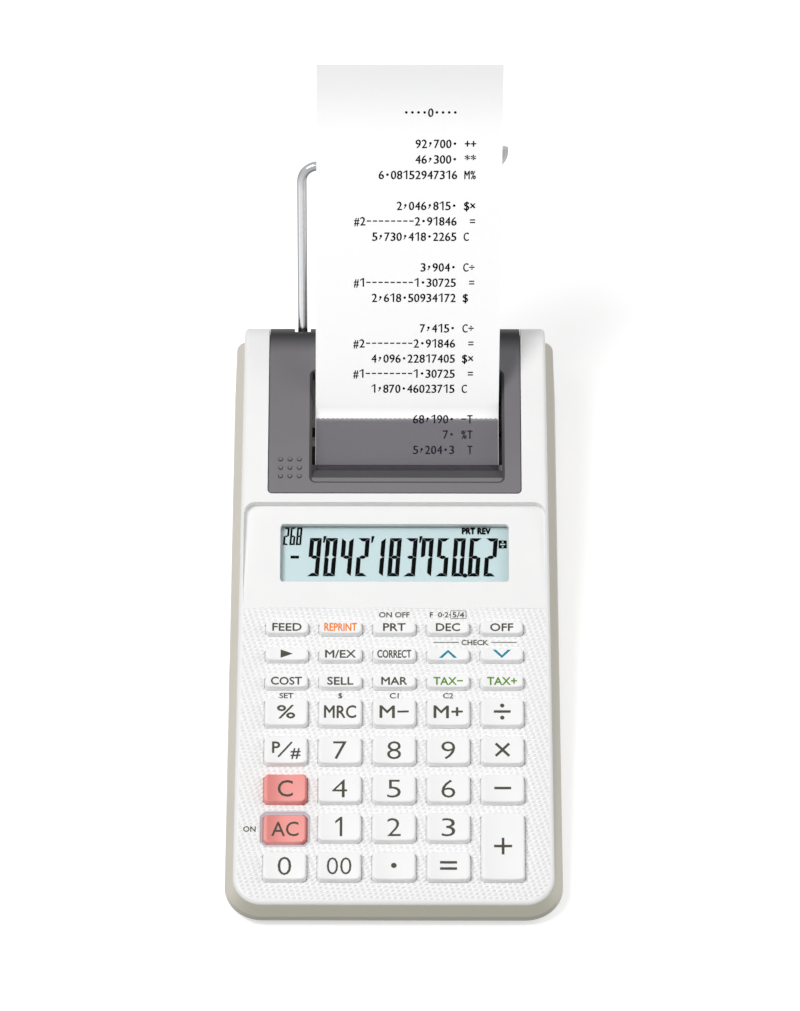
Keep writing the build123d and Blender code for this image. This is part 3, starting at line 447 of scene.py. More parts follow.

# %% [markdown]
# ## Printer cover
# The cover is sprayed in a dark grey. Its colour carries painted light and painted shade: it is lighter at the front
# and where it faces up, and falls off to a darker tone on walls and on the rolled-over back. Masks by direction and
# by depth give that; a single colour would look like card. The cover is one solid with the paper recess in it, and a
# soft-edge normal catches the thin lines of light along its rim.

# %% Printer cover
cover_edge = 0.3
# where painted shade on walls that don't face up begins
wall_shade_edge, wall_shade_fade = 0.84, 0.15
# reach of the painted light at the front of the cover
nose_light_length = 24.0
# reach of the painted shade on the rolled-over back
tail_shade_length, tail_shade_fade = 12.4, 8.4
cover_low, cover_high = box_mm("printer_cover")
cover, cover_shader, place = finish("cover_grey", Specular_IOR_Level=0.25)
depth_in = along(place, to_back)
tone = grain(place, 14.0).mix(colour(112, 110, 113), colour(118, 116, 119))
# painted light: the front of the cover is lighter
tone = (1 - depth_in.above(cover_low.y, nose_light_length)).mix(tone, colour(120, 118, 121))
# painted shade: the rolled-over back is dark
tone = depth_in.above(cover_high.y - tail_shade_length, tail_shade_fade).mix(tone, colour(34, 33, 35))
# painted shade on walls and recess faces that don't look up
unshaded_upward = facing(place, deck_up).above(wall_shade_edge, wall_shade_fade)
plug(cover_shader, "Base Color", unshaded_upward.mix(colour(70, 69, 71), tone))
plug(cover_shader, "Roughness", grain(place, 5.0) * 0.1 + 0.42)
plug(cover_shader, "Normal", bump(place, 0.25, 0.03, grain(place, 0.25, 1.0), Normal=soft_edge(place, cover_edge)))
dress("printer_cover", cover)
print("cover from y", round(cover_low.y, 1), "to", round(cover_high.y, 1), "mm")

# %% [markdown]
# ## Smoked cutter and display
# The cutter is a plate of smoked clear plastic, and the last printed lines show through it. Under a clear lens lies a
# pale green-blue display glass. Glass that bends light would be slow and noisy on such thin plates, so Alpha does the
# job and the print stays sharp. A faint grain keeps the display glass from looking like paint.

# %% Cutter, lens and display glass
smoke_share = 0.455
lens_share = 0.002


def clear_finish(name, low, high, shine, polish, share):
    """Thin clear plastic that shows a share of its own colour and lets the rest through."""
    material, shader, place = finish(name, Specular_IOR_Level=shine, Alpha=share)
    cloud_size, spread, roughness = polish
    plug(shader, "Base Color", grain(place, 20.0).mix(low, high))
    plug(shader, "Roughness", grain(place, cloud_size) * spread + roughness)
    return material


dress("paper_cutter", clear_finish("smoked_clear", colour(44, 32, 54), colour(50, 38, 60), 0.2, (6.0, 0.08, 0.16),
                                   smoke_share))
dress("display_window", clear_finish("clear_lens", colour(236, 244, 244), colour(244, 250, 250), 0.12,
                                     (8.0, 0.05, 0.06), lens_share))
glass, glass_shader, place = finish("display_glass", Specular_IOR_Level=0.3)
plug(glass_shader, "Base Color", grain(place, 0.4, 1.0).mix(colour(198, 219, 222), colour(204, 225, 227)))
plug(glass_shader, "Roughness", grain(place, 3.0) * 0.1 + 0.35)
dress("lcd_panel", glass)
print("smoked cutter, lens and display glass")

# %% [markdown]
# ## Inside
# The parts inside show through the smoked window, past the battery cover or when the cover is lifted. Each gets a
# finish of its own kind: moulded plastic, plated steel, felt or a green laminate board. A few small functions make
# them, because the parts differ only in colour and in the size of their grain.

# %% Kinds of inside finish


def moulded_finish(name, low, high, roughness, speck):
    """Small moulded part: even colour with a little cloud and a fine grain."""
    material, shader, place = finish(name, Specular_IOR_Level=0.35)
    cloud = grain(place, speck * 8)
    plug(shader, "Base Color", cloud.mix(low, high))
    plug(shader, "Roughness", cloud * 0.15 + (roughness - 0.07))
    plug(shader, "Normal", bump(place, 0.2, 0.04, grain(place, speck, 1.0)))
    return material


def plated_finish(name, low, high, roughness, streak):
    """Plated metal: brushed along x, so the grain is stretched that way."""
    material, shader, place = finish(name, Metallic=1.0)
    stretched = place.node("Mapping", None, {"Vector": place, "Scale": (0.06, 1.0, 1.0)})
    brushed = grain(stretched, streak, 3.0)
    plug(shader, "Base Color", brushed.mix(low, high))
    plug(shader, "Roughness", brushed * 0.2 + (roughness - 0.1))
    return material


def board_finish(name):
    """Green laminate with faint copper tracks under the mask."""
    material, shader, place = finish(name, Specular_IOR_Level=0.5)
    tracks = place.node("TexBrick", {"offset": 0.5}, {"Vector": place, "Scale": 260.0, "Mortar Size": 0.08},
                        out="Fac")
    plug(shader, "Base Color", tracks.mix(colour(38, 96, 58), colour(58, 122, 72)))
    plug(shader, "Roughness", grain(place, 4.0) * 0.2 + 0.3)
    return material


print("three kinds of inside finish")

# %% Inside parts
dress("printer_frame", moulded_finish("printer_black", colour(42, 42, 44), colour(54, 54, 56), 0.5, 0.5))
dress("type_drum", moulded_finish("drum_black", colour(34, 34, 36), colour(50, 50, 52), 0.4, 0.8))
dress("ink_roller", rubber_finish("ink_felt", colour(36, 28, 62), colour(58, 46, 92), 0.4))
dress("motor_pinion", moulded_finish("gear_plastic", colour(234, 230, 220), colour(240, 236, 226), 0.4, 0.4))
dress("drive_motor", plated_finish("motor_steel", colour(200, 201, 203), colour(216, 217, 218), 0.35, 0.4))
dress("battery_contacts", plated_finish("contact_metal", colour(214, 211, 204), colour(226, 224, 218), 0.3, 0.4))
dress("case_screws", plated_finish("screw_steel", colour(190, 190, 192), colour(208, 208, 209), 0.35, 0.3))
dress("batteries", moulded_finish("cell_jacket", colour(52, 58, 76), colour(66, 72, 92), 0.3, 0.6))
dress("main_board", board_finish("board"))
print("inside parts dressed")

# %% [markdown]
# ## Outlines and lofts
# A key cap is a rounded rectangle that shrinks as it rises. It could be a box with a bevel, but a bevel can't hollow
# the top. A loft can: the same outline is drawn at several heights, each a little smaller, and the rings are joined.
# The front and back edges get extra points, so that the top can be bent between them.

# %% Outlines and lofts
corner_steps = 5
run_splits = 6
sharp_angle = radians(50)


def rounded(width, depth, radius):
    """Rectangle with round corners, anticlockwise from the right, with extra points along front and back."""
    points = []
    for quarter, (sx, sy) in enumerate(((1, 1), (-1, 1), (-1, -1), (1, -1))):
        centre = Vector((sx * (width / 2 - radius), sy * (depth / 2 - radius)))
        for step in range(corner_steps + 1):
            angle = (quarter + step / corner_steps) * pi / 2
            points.append(centre + radius * Vector((cos(angle), sin(angle))))
        if quarter in (0, 2):
            end, run = points[-1], width - 2 * radius
            points += [end - Vector((sx * run * step / run_splits, 0)) for step in range(1, run_splits)]
    return points


def lofted(name, rings, place):
    """Closed mesh through rings with equal numbers of points; the last ring is closed strip by strip."""
    work = bmesh.new()
    rows = [[work.verts.new(place @ point) for point in ring] for ring in rings]
    count = len(rows[0])
    work.faces.new(list(reversed(rows[0])))
    for lower, upper in zip(rows, rows[1:]):
        for i in range(count):
            j = (i + 1) % count
            work.faces.new((lower[i], lower[j], upper[j], upper[i]))
    top = rows[-1]
    for i in range(count // 2 - 1):
        work.faces.new((top[i], top[i + 1], top[count - 2 - i], top[count - 1 - i]))
    mesh = bpy.data.meshes.new(name)
    work.to_mesh(mesh)
    work.free()
    mesh.shade_smooth()
    mesh.set_sharp_from_angle(angle=sharp_angle)
    return mesh


print("cap outline of", len(rounded(10, 8, 1)), "points")

# %% [markdown]
# ## Shape of a cap
# Each key is a moulded cap with round corners, drafted sides, a soft top edge and a top that is hollowed a little from
# side to side, so that a finger finds its middle. CAD keeps a plain cap for the collision, and its reach along the
# deck's directions gives the size of this one. A flared foot fills the narrow opening round the cap, so that no black
# line shows there.

# %% Rings of a cap
key_flange = 0.8
flange_thickness = 0.8
cap_corner = 1.5
cap_foot = 0.19
foot_rise = 0.3
cap_edge = 0.55
cap_draft = 0.08
cap_hollow = 0.4
edge_steps = 4


def key_sizes(name):
    """Middle, width, depth, top and bottom of a key, without its flange."""
    x_low, x_high = reach(name, to_right)
    s_low, s_high = reach(name, deck_back)
    bottom, top = reach(name, deck_up)
    return SimpleNamespace(x=(x_low + x_high) / 2, s=(s_low + s_high) / 2, width=x_high - x_low - 2 * key_flange,
                           depth=s_high - s_low - 2 * key_flange, top=top - deck_level, bottom=bottom - deck_level)


def hollow(x, width):
    """How far the top of a key lies below its side edges."""
    return cap_hollow * (1 - (2 * x / width) ** 2)


def key_rings(key, base):
    """Rings of a cap from its flange, past the flared foot that fills its opening, to its top."""
    flange_top = key.bottom + flange_thickness
    shoulder = key.top - cap_edge
    steps = [(key_flange, key.bottom), (key_flange, flange_top), (cap_foot, flange_top)]
    steps += [(cap_foot, base), (0, base + foot_rise), (-cap_draft, shoulder)]
    for step in range(1, edge_steps + 1):
        angle = step / edge_steps * pi / 2
        steps.append((-cap_draft - cap_edge * (1 - cos(angle)), shoulder + cap_edge * sin(angle)))
    rings = []
    for grow, level in steps:
        outline = rounded(key.width + 2 * grow, key.depth + 2 * grow, cap_corner + grow)
        low = 1 if level >= shoulder else 0
        rings.append([Vector((p.x, p.y, level - low * hollow(p.x, key.width))) for p in outline])
    return rings


print("a cap has", len(key_rings(key_sizes("key_5"), 0.0)), "rings")

# %% [markdown]
# ## Key caps
# The caps are smooth hard plastic, white or pink. In the light from the left, the left slope of the hollow top lies in
# its own shade; the slope is so slight that the lamp alone shows too little of it, so the colour is a little deeper
# there. Each cap takes the place of its CAD key and rides on the key's body.

# %% Key caps
moat_floor = -0.7
slope_edge, slope_fade = -0.02, 0.16
key_names = [name for name in nodes if name.startswith("key_") and name != "key_membrane"]
pink_keys = ("key_clear", "key_all_clear")


def key_finish(name, low, high, shade):
    """Smooth hard plastic with a soft gloss, deeper in colour on the left slope of its hollow top."""
    material, shader, place = finish(name, Specular_IOR_Level=0.4)
    left_slope = facing(place, to_right).above(slope_edge, slope_fade)
    plug(shader, "Base Color", left_slope.mix(grain(place, 6.0).mix(low, high), shade))
    plug(shader, "Roughness", grain(place, 3.0) * 0.08 + 0.34)
    plug(shader, "Normal", bump(place, 0.15, 0.02, grain(place, 0.3, 1.0)))
    return material


cap_finishes = {
    "key_white": key_finish("key_white", colour(243, 243, 243), colour(247, 247, 247), colour(241, 241, 242)),
    "key_pink": key_finish("key_pink", colour(240, 152, 146), colour(244, 160, 154), colour(206, 118, 114)),
}


def key_slot(name):
    """Record slot of a key: two keys are pink and the others white."""
    return "key_pink" if name in pink_keys else "key_white"


def new_piece(name, mesh, body, slot, material):
    """Links a finished mesh as a piece that rides on a CAD body."""
    mesh.materials.append(material)
    piece = bpy.data.objects.new(name, mesh)
    bpy.context.scene.collection.objects.link(piece)
    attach(piece, body)
    return piece


for name in key_names:
    key = key_sizes(name)
    base = moat_floor if name == "key_all_clear" else 0.0
    mesh = lofted(name + "_cap", key_rings(key, base), deck_place(key.x, key.s))
    cap = new_piece(name + "_cap", mesh, name, key_slot(name), cap_finishes[key_slot(name)])
    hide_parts(name)
print(len(key_names), "key caps")

# %% [markdown]
# ## Print as thin meshes
# Legends are printed on the real keys. A picture could carry them, but a thin mesh stays sharp at every distance and
# needs no file. Blender's built-in font gives the outlines of words, and plain polygons give the signs. Where a word
# has to be bolder than the font, it is printed four times, a little aside each time.

# %% Words and drawings
cap_share = 0.729
ink_thickness = 0.03
copy_lift = 0.004


def joined(shapes):
    """One list of points and faces from several shapes, each moved to its place."""
    points, faces = [], []
    for (shape_points, shape_faces), (x, y) in shapes:
        first = len(points)
        points += [point + Vector((x, y, 0)) for point in shape_points]
        faces += [tuple(first + i for i in face) for face in shape_faces]
    return points, faces


def thickened(points, faces, bold, width):
    """A word printed four times, each time a little aside and a hair higher, so that its strokes grow."""
    natural = max(p.x for p in points) - min(p.x for p in points)
    aside = bold * natural / width if width else bold
    copies = []
    for index, shift in enumerate(((aside, 0), (-aside, 0), (0, bold), (0, -bold))):
        lifted = [point + Vector((0, 0, index * copy_lift)) for point in points]
        copies.append(((lifted, faces), shift))
    return joined(copies)


def printed(text, height, width=0.0, bold=0.0):
    """Points and faces of a word in millimetres; the word's middle is at the origin."""
    curve = bpy.data.curves.new("word", "FONT")
    curve.body = text
    curve.size = height / cap_share
    curve.align_x = "CENTER"
    curve.offset = min(bold, 0.0)
    curve.resolution_u = 3
    curve.extrude = ink_thickness / 2
    word = bpy.data.objects.new("word", curve)
    mesh = bpy.data.meshes.new_from_object(word)
    points = [vertex.co.copy() for vertex in mesh.vertices]
    faces = [tuple(face.vertices) for face in mesh.polygons]
    bpy.data.objects.remove(word)
    bpy.data.curves.remove(curve)
    bpy.data.meshes.remove(mesh)
    if bold > 0:
        points, faces = thickened(points, faces, bold, width)
    low, high = min(p.x for p in points), max(p.x for p in points)
    squeeze = width / (high - low) if width else 1.0
    return [Vector(((p.x - (low + high) / 2) * squeeze, p.y - height / 2, p.z)) for p in points], faces


def drawn(outlines):
    """Points and faces of flat outlines, given a little thickness."""
    points, faces = [], []
    for outline in outlines:
        first = len(points)
        count = len(outline)
        for level in (-ink_thickness / 2, ink_thickness / 2):
            points += [Vector((x, y, level)) for x, y in outline]
        faces.append(tuple(first + count + i for i in range(count)))
        faces.append(tuple(first + i for i in reversed(range(count))))
        for i in range(count):
            j = (i + 1) % count
            faces.append((first + i, first + j, first + count + j, first + count + i))
    return points, faces


print("a printed A has", len(printed("A", 1.0)[0]), "points")

# %% Ink


def flat_mesh(name, shape, place):
    """Mesh from points and faces in millimetres, put in its place by a matrix or a function."""
    mesh = bpy.data.meshes.new(name)
    move = place if callable(place) else lambda point: place @ point
    mesh.from_pydata([move(point) for point in shape[0]], [], shape[1])
    mesh.update()
    return mesh


def ink_finish(name, low, high, shine=0.2):
    """Printed ink, dull and slightly uneven."""
    material, shader, place = finish(name, Specular_IOR_Level=shine)
    patch = grain(place, 0.6)
    plug(shader, "Base Color", patch.mix(low, high))
    plug(shader, "Roughness", patch * 0.2 + 0.5)
    return material


olive_ink = ink_finish("olive_ink", colour(70, 67, 58), colour(82, 79, 69))
teal_ink = ink_finish("teal_ink", colour(4, 124, 152), colour(14, 138, 166))
green_ink = ink_finish("green_ink", colour(82, 132, 10), colour(94, 144, 20))
orange_ink = ink_finish("orange_ink", colour(240, 126, 20), colour(246, 138, 34))
coloured_ink = {"key_copy": orange_ink, "key_tax_minus": green_ink, "key_tax_plus": green_ink, "key_up": teal_ink,
                "key_down": teal_ink}
print("olive ink, and another ink on", len(coloured_ink), "keys")

# %% [markdown]
# ## Signs
# The arithmetic signs, the arrow heads and the figure one are drawn stroke by stroke, because the font's own are too
# light or too fancy for these keys. Strokes that cross are cut where they meet, so that no two faces lie on each other
# and flicker.

# %% Strokes and dots


def bar(x, y, width, height):
    """A straight stroke round a middle point."""
    return [(x - width / 2, y - height / 2), (x + width / 2, y - height / 2),
            (x + width / 2, y + height / 2), (x - width / 2, y + height / 2)]


def dot(x, y, radius, sides=14):
    """A round spot."""
    turns = [2 * pi * i / sides for i in range(sides)]
    return [(x + radius * cos(turn), y + radius * sin(turn)) for turn in turns]


def turned(outline, angle):
    """An outline turned about the middle of its key."""
    return [(x * cos(angle) - y * sin(angle), x * sin(angle) + y * cos(angle)) for x, y in outline]


def crossed(size, stroke):
    """A level stroke with half an upright on either side of it."""
    half = (size - stroke) / 2
    return [bar(0, 0, size, stroke)] + [bar(0, side * (half + stroke) / 2, stroke, half) for side in (1, -1)]


def chevron(width, height, stroke):
    """An arrow head made of two strokes, pointing up."""
    foot, notch = 1.35 * stroke, 1.15 * stroke
    left = [(0, height / 2), (-width / 2, -height / 2), (foot - width / 2, -height / 2)]
    return left + [(0, height / 2 - notch), (width / 2 - foot, -height / 2), (width / 2, -height / 2)]


print("a dot has", len(dot(0, 0, 1)), "sides")

# %% Signs on the keys
digit_height = 6.3
sign_reach = 5.1
plus_reach = 5.4
times_reach = 5.8
sign_stroke = 0.8
point_radius = 0.85
divide_radius, divide_rise = 0.66, 2.0
equals_rise = 1.0
arrow_head = [(-1.85, 1.38), (-1.85, -1.38), (1.85, 0)]
arrow_up = chevron(5.6, 2.75, 0.78)
one_top = digit_height / 2
plain_one = [(0.1, -one_top), (0.86, -one_top), (0.86, one_top), (0.3, one_top), (-1.25, 1.8), (-1.25, 1.0), (0.1, 2.1)]
level_bar = bar(0, 0, sign_reach, sign_stroke)
signs = {
    "key_point": [dot(0, 0, point_radius)],
    "key_equals": [bar(0, side * equals_rise, sign_reach, sign_stroke) for side in (1, -1)],
    "key_minus": [level_bar],
    "key_plus": crossed(plus_reach, sign_stroke),
    "key_divide": [level_bar] + [dot(0, side * divide_rise, divide_radius) for side in (1, -1)],
    "key_replay": [arrow_head],
    "key_up": [arrow_up],
    "key_down": [turned(arrow_up, pi)],
    "key_multiply": [turned(outline, 3 * pi / 4) for outline in crossed(times_reach, sign_stroke)],
    "key_1": [plain_one],
}
print(len(signs), "drawn signs")

# %% [markdown]
# ## Legends on the keys
# Digits are thin and large, words small and strong, so the weight follows the height. Each word is squeezed to its
# width on the real key, which brings the built-in font close to the printed letters. The legend is bent to the hollow
# of the key's top, so that it lies on the cap and rides with it.

# %% Words of the legends
low_word = 2.65
digit_bold = -0.07
small_bold = 0.075
large_bold = 0.085
letter_bold = 0.03
weights = ((3.0, small_bold), (4.7, large_bold), (5.8, letter_bold))
words = {
    "key_0": ("0", digit_height, 4.1), "key_00": ("00", 5.9, 7.4), "key_2": ("2", digit_height, 4.1),
    "key_3": ("3", digit_height, 4.1), "key_4": ("4", digit_height, 4.5), "key_5": ("5", digit_height, 4.1),
    "key_6": ("6", digit_height, 4.2), "key_7": ("7", digit_height, 4.1), "key_8": ("8", digit_height, 4.2),
    "key_9": ("9", digit_height, 4.2), "key_clear": ("C", 5.6, 4.6), "key_all_clear": ("AC", 4.9, 8.2),
    "key_percent": ("%", 4.5, 5.6), "key_memory_recall": ("MRC", 4.3, 9.8),
    "key_memory_minus": ("M−", 4.3, 8.9), "key_memory_plus": ("M+", 4.3, 8.9),
    "key_cost": ("COST", low_word, 9.5), "key_sell": ("SELL", low_word, 8.0), "key_margin": ("MAR", low_word, 7.9),
    "key_tax_minus": ("TAX−", low_word, 9.0), "key_tax_plus": ("TAX+", low_word, 9.1),
    "key_exchange": ("M/EX", low_word, 9.4), "key_correct": ("CORRECT", low_word, 10.4),
    "key_feed": ("FEED", low_word, 9.0), "key_copy": ("REPRINT", 2.7, 10.0), "key_print": ("PRT", low_word, 6.9),
    "key_decimal": ("DEC", low_word, 7.4), "key_off": ("OFF", low_word, 7.1),
}


def weight(height):
    """How much bolder a legend is printed than the plain font: the digits are thin, the words strong."""
    return next((bold for limit, bold in weights if height < limit), digit_bold)


print(len(words), "words")

# %% Legends
ink_lift = 0.02
code_stroke = turned(bar(0, 0, 6.4, 0.55), radians(50))
code_parts = [(printed("P", 3.9, bold=large_bold), (-2.9, 0.8)), (drawn([code_stroke]), (-0.2, 0.0)),
              (printed("#", 3.6, bold=large_bold), (3.0, -0.9))]
shapes = {name: printed(*word, bold=weight(word[1])) for name, word in words.items()}
shapes.update({name: drawn(outlines) for name, outlines in signs.items()})
shapes["key_print_code"] = joined(code_parts)


def on_cap(name):
    """A function that lays a flat drawing on the hollow top of a key."""
    key = key_sizes(name)
    place = deck_place(key.x, key.s)
    return lambda p: place @ Vector((p.x, p.y, key.top - hollow(p.x, key.width) + ink_lift + p.z))


for name, shape in shapes.items():
    mesh = flat_mesh(name + "_legend", shape, on_cap(name))
    new_piece(name + "_legend", mesh, name, key_slot(name), coloured_ink.get(name, olive_ink))
print(len(shapes), "legends on", len(key_names), "keys")

# %% [markdown]
# ## Words on the deck
# Small words stand on the deck itself, behind or beside the keys that they belong to. They are placed from the keys'
# own sizes, so that they follow if the deck is laid out anew, and joined into one mesh that rides with the case.

# %% Words on the deck
small_word = 1.8
deck_bold = 0.055
row_gap = 1.5
word_gap = 2.5
switch_gap = 2.8
places_shift, rounding_shift = -2.4, 3.2
ring_width, ring_depth, ring_stroke = 4.7, 2.6, 0.18
rule_start, rule_length, rule_stroke = 4.9, 7.8, 0.26
on_shift = -10.7
deck_words = []


def beyond(name, gap):
    """Middle of a key and the distance up the deck just beyond its back edge."""
    key = key_sizes(name)
    return key.x, key.s + key.depth / 2 + gap


def deck_word(text, width, x, s):
    """Sets a small word on the deck."""
    deck_words.append((printed(text, small_word, width, bold=deck_bold), (x, s)))


for name, text, width in (("key_percent", "SET", 4.3), ("key_memory_recall", "$", 0),
                          ("key_memory_minus", "C1", 2.8), ("key_memory_plus", "C2", 3.1)):
    deck_word(text, width, *beyond(name, row_gap))
print_x, switch_s = beyond("key_print", switch_gap)
deck_word("ON OFF", 9.4, print_x, switch_s)
decimal_x = key_sizes("key_decimal").x
deck_word("F  0·2·", 6.3, decimal_x + places_shift, switch_s)
deck_word("5/4", 3.6, decimal_x + rounding_shift, switch_s)
ring = [bar(0, side * ring_depth / 2, ring_width, ring_stroke) for side in (-1, 1)]
ring += [bar(side * ring_width / 2, 0, ring_stroke, ring_depth - ring_stroke) for side in (-1, 1)]
deck_words.append((drawn(ring), (decimal_x + rounding_shift, switch_s)))
up_x, check_s = beyond("key_up", word_gap)
check_x = (up_x + key_sizes("key_down").x) / 2
deck_word("CHECK", 8.2, check_x, check_s)
rules = [bar(side * (rule_start + rule_length / 2), 0, rule_length, rule_stroke) for side in (-1, 1)]
deck_words.append((drawn(rules), (check_x, check_s)))
all_clear = key_sizes("key_all_clear")
deck_word("ON", 3.8, all_clear.x + on_shift, all_clear.s)
mesh = flat_mesh("deck_words", joined(deck_words), deck_place(0, 0, ink_lift))
new_piece("deck_words", mesh, "case", "white_shell", olive_ink)
print(len(deck_words), "groups of words on the deck")

# %% [markdown]
# ## Display digits
# The display has twelve tall, narrow digits of seven segments, a little slanted, with thin gaps where the segments
# meet. They are dark shapes inside the glass. Each segment is a bar with mitred ends, and a digit is the set of bars
# that its figure lights, so one table of letters stands for all ten figures.

# %% Seven-segment digits
segment_table = {"0": "abcdef", "1": "bc", "2": "abged", "3": "abgcd", "4": "fgbc", "5": "afgcd", "6": "afgedc",
                 "7": "fabc", "8": "abcdefg", "9": "abcdfg"}
digit_slant = 0.07
tall = SimpleNamespace(width=3.6, height=13.0, upright=1.3, level=1.1, gap=0.06, pitch=4.94)
short = SimpleNamespace(width=1.65, height=6.0, upright=0.6, level=0.55, gap=0.03, pitch=1.98)


def segments(figure, size):
    """Outlines of the lit segments of one figure, standing on its foot."""
    width, height, upright, level, gap = size.width, size.height, size.upright, size.level, size.gap
    half, inner = height / 2, upright + gap
    roof = [(gap, height), (inner, height - level), (width - inner, height - level), (width - gap, height)]
    belt = [(upright / 2 + gap, half), (inner, half - level / 2), (width - inner, half - level / 2)]
    belt += [(width - x, height - y) for x, y in belt]
    post = [(0, height - gap), (0, half + gap), (upright / 2, half + gap), (upright, half + level / 2 + gap),
            (upright, height - level - gap)]
    bars = {"a": roof, "g": belt, "f": post, "c": [(width - x, height - y) for x, y in post],
            "d": [(width - x, height - y) for x, y in roof], "b": [(width - x, y) for x, y in reversed(post)],
            "e": [(x, height - y) for x, y in reversed(post)]}
    return [[(x + y * digit_slant, y) for x, y in bars[segment]] for segment in segment_table[figure]]


def moved(outlines, x, y):
    """The same outlines in another place."""
    return [[(px + x, py + y) for px, py in outline] for outline in outlines]


def number(figures, size, x, y):
    """Outlines of a row of figures that starts at a place."""
    rows = [moved(segments(figure, size), x + index * size.pitch, y) for index, figure in enumerate(figures)]
    return [outline for row in rows for outline in row]


print("an eight has", len(segments("8", tall)), "segments")

# %% [markdown]
# ## What the display shows
# A row of figures with its sign, decimal point and thousands marks, a small line counter, two words and a small tile
# with a division sign. All are thin meshes in the narrow gap between the glass and the lens, joined into one piece,
# so that the glass stays clean and the print sharp. Places are measured from the window's front left corner.

# %% Digits on the glass
lens_overlap = 2.0
glass_gap = 0.05
digits_left, digits_foot = 8.2, 3.0
minus_x, minus_width, minus_stroke = 4.4, 2.6, 0.95
decimal_after, decimal_shift, decimal_rise, decimal_radius = 10, -0.75, 0.3, 0.72
mark = [(0, 0), (0.45, 0), (1.1, 2.3), (0.15, 2.3)]
mark_after, mark_shift, mark_drop = (1, 4, 7), -0.05, 1.6
counter_place = 0.7, 13.6
word_place = 60.4, 18.5
tile_place = 68.5, 13.9
outlines = number("904218375062", tall, digits_left, digits_foot)
outlines.append(bar(minus_x, digits_foot + tall.height / 2, minus_width, minus_stroke))
outlines.append(dot(digits_left + decimal_after * tall.pitch + decimal_shift, digits_foot + decimal_rise,
                    decimal_radius))
for index in mark_after:
    outlines += moved([mark], digits_left + index * tall.pitch + mark_shift, digits_foot + tall.height - mark_drop)
outlines += number("268", short, *counter_place)
tile = []  # dark bars that leave the division sign open between them
for side in (-1, 1):
    tile += [bar(0, side * 1.2, 2.5, 0.3), bar(0, side * 0.42, 2.5, 0.34), bar(side * 1.02, 0, 0.46, 0.5)]
    tile += [bar(side * 0.76, 0.82, 0.98, 0.46), bar(side * 0.76, -0.82, 0.98, 0.46)]
shown = [(drawn(outlines), (0, 0)), (printed("PRT REV", 2.1, 9.0, bold=0.17), word_place), (drawn(tile), tile_place)]
glass_ink, ink_shader, place = finish("display_ink", Specular_IOR_Level=0.01)
plug(ink_shader, "Base Color", grain(place, 0.5).mix(colour(2, 2, 3), colour(6, 7, 8)))
plug(ink_shader, "Roughness", grain(place, 0.5) * 0.1 + 0.5)
window_left = reach("display_window", to_right)[0] + lens_overlap
window_front = reach("display_window", deck_back)[0] + lens_overlap
digits_level = reach("lcd_panel", deck_up)[1] - deck_level + glass_gap
mesh = flat_mesh("display_digits", joined(shown), deck_place(window_left, window_front, digits_level))
new_piece("display_digits", mesh, "case", "display_glass", glass_ink)
print(len(outlines), "display segments")

# %% [markdown]
# ## Line of the paper
# The paper comes in under the back of the cover, runs round the front of the feed roller, leaves behind the tear edge
# and leans back. Seen from the side that is a line of straight runs and arcs. It is worked out from the roller's axis,
# the tear edge and the top of the CAD strip, so that the sheet follows the solid if the printer changes.

# %% Line of the paper
paper_wrap = 4.8
paper_lean = radians(58)
paper_bend = 5.0
cutter_thickness = 1.2
tear_gap = 0.9
arc_steps = 12
lean_steps = 16
axis = (Vector(joints["feed_spin"]["pos_m"]) / mm).yz
strip_low, strip_high = box_mm("paper_strip")
cutter_low, cutter_high = box_mm("paper_cutter")
strip_side = [vertex.co.yz / mm for vertex in nodes["paper_strip"].data.vertices]
inlet = max((point for point in strip_side if point.y < cutter_low.z), key=lambda point: point.x)
tear = Vector((cutter_high.y + tear_gap, cutter_high.z - cutter_thickness))
to_tear, to_inlet = tear - axis, inlet - axis
exit_lean = atan2(to_tear.y, to_tear.x) - asin(paper_wrap / to_tear.length)
inlet_turn = atan2(to_inlet.y, to_inlet.x) + asin(paper_wrap / to_inlet.length)
arc_start, arc_end = inlet_turn + 1.5 * pi, exit_lean + pi / 2
path = [inlet]
for step in range(arc_steps + 1):
    angle = arc_start + (arc_end - arc_start) * step / arc_steps
    path.append(axis + paper_wrap * Vector((cos(angle), sin(angle))))
tear_index = len(path)
for step in range(arc_steps + 1):
    angle = exit_lean + (paper_lean - exit_lean) * step / arc_steps
    path.append(tear + paper_bend * Vector((sin(angle) - sin(exit_lean), cos(exit_lean) - cos(angle))))
lean = Vector((cos(paper_lean), sin(paper_lean)))
lean_length = (strip_high.z - path[-1].y) / lean.y
for step in range(lean_steps):
    path.append(path[-1] + lean * (lean_length / lean_steps))
lengths = [0.0]
for first, second in zip(path, path[1:]):
    lengths.append(lengths[-1] + (second - first).length)
tear_length = lengths[tear_index]
print("paper", round(lengths[-1], 1), "mm long, of which", round(lengths[-1] - tear_length, 1), "beyond the tear edge")

# %% [markdown]
# ## Paper sheet
# CAD has the paper as one thin solid. Here it is a fine sheet along the same line, bowed a little across its width as
# paper from a roll is, so that it shades like paper. A grid of faces is enough, and Solidify gives it its thickness.
# Its border edges are marked sharp, because smooth shading would else bend the light round the rim.

# %% Sheet along the line
sheet_columns = 12
sheet_thickness = 0.1
sheet_bow = 0.15
sheet_drift = 0.8
strip_middle = (strip_low.x + strip_high.x) / 2
strip_width = strip_high.x - strip_low.x


def sheet_point(x, distance, lift=0.0):
    """Place on the paper: x across, distance beyond the tear edge, lift off its printed face."""
    wanted = min(max(distance + tear_length, 0.0), lengths[-1])
    index = max(i for i, length in enumerate(lengths[:-1]) if length <= wanted)
    run = path[index + 1] - path[index]
    spot = path[index] + run * ((wanted - lengths[index]) / run.length)
    face = Vector((-run.y, run.x)) / run.length
    free = min(max(distance / lean_length, 0.0), 1.0)
    bow = sheet_bow * free * (1 - (2 * x / strip_width) ** 2)
    spot = spot + face * (lift + bow)
    return Vector((x + strip_middle + sheet_drift * free, spot.x, spot.y)) * mm


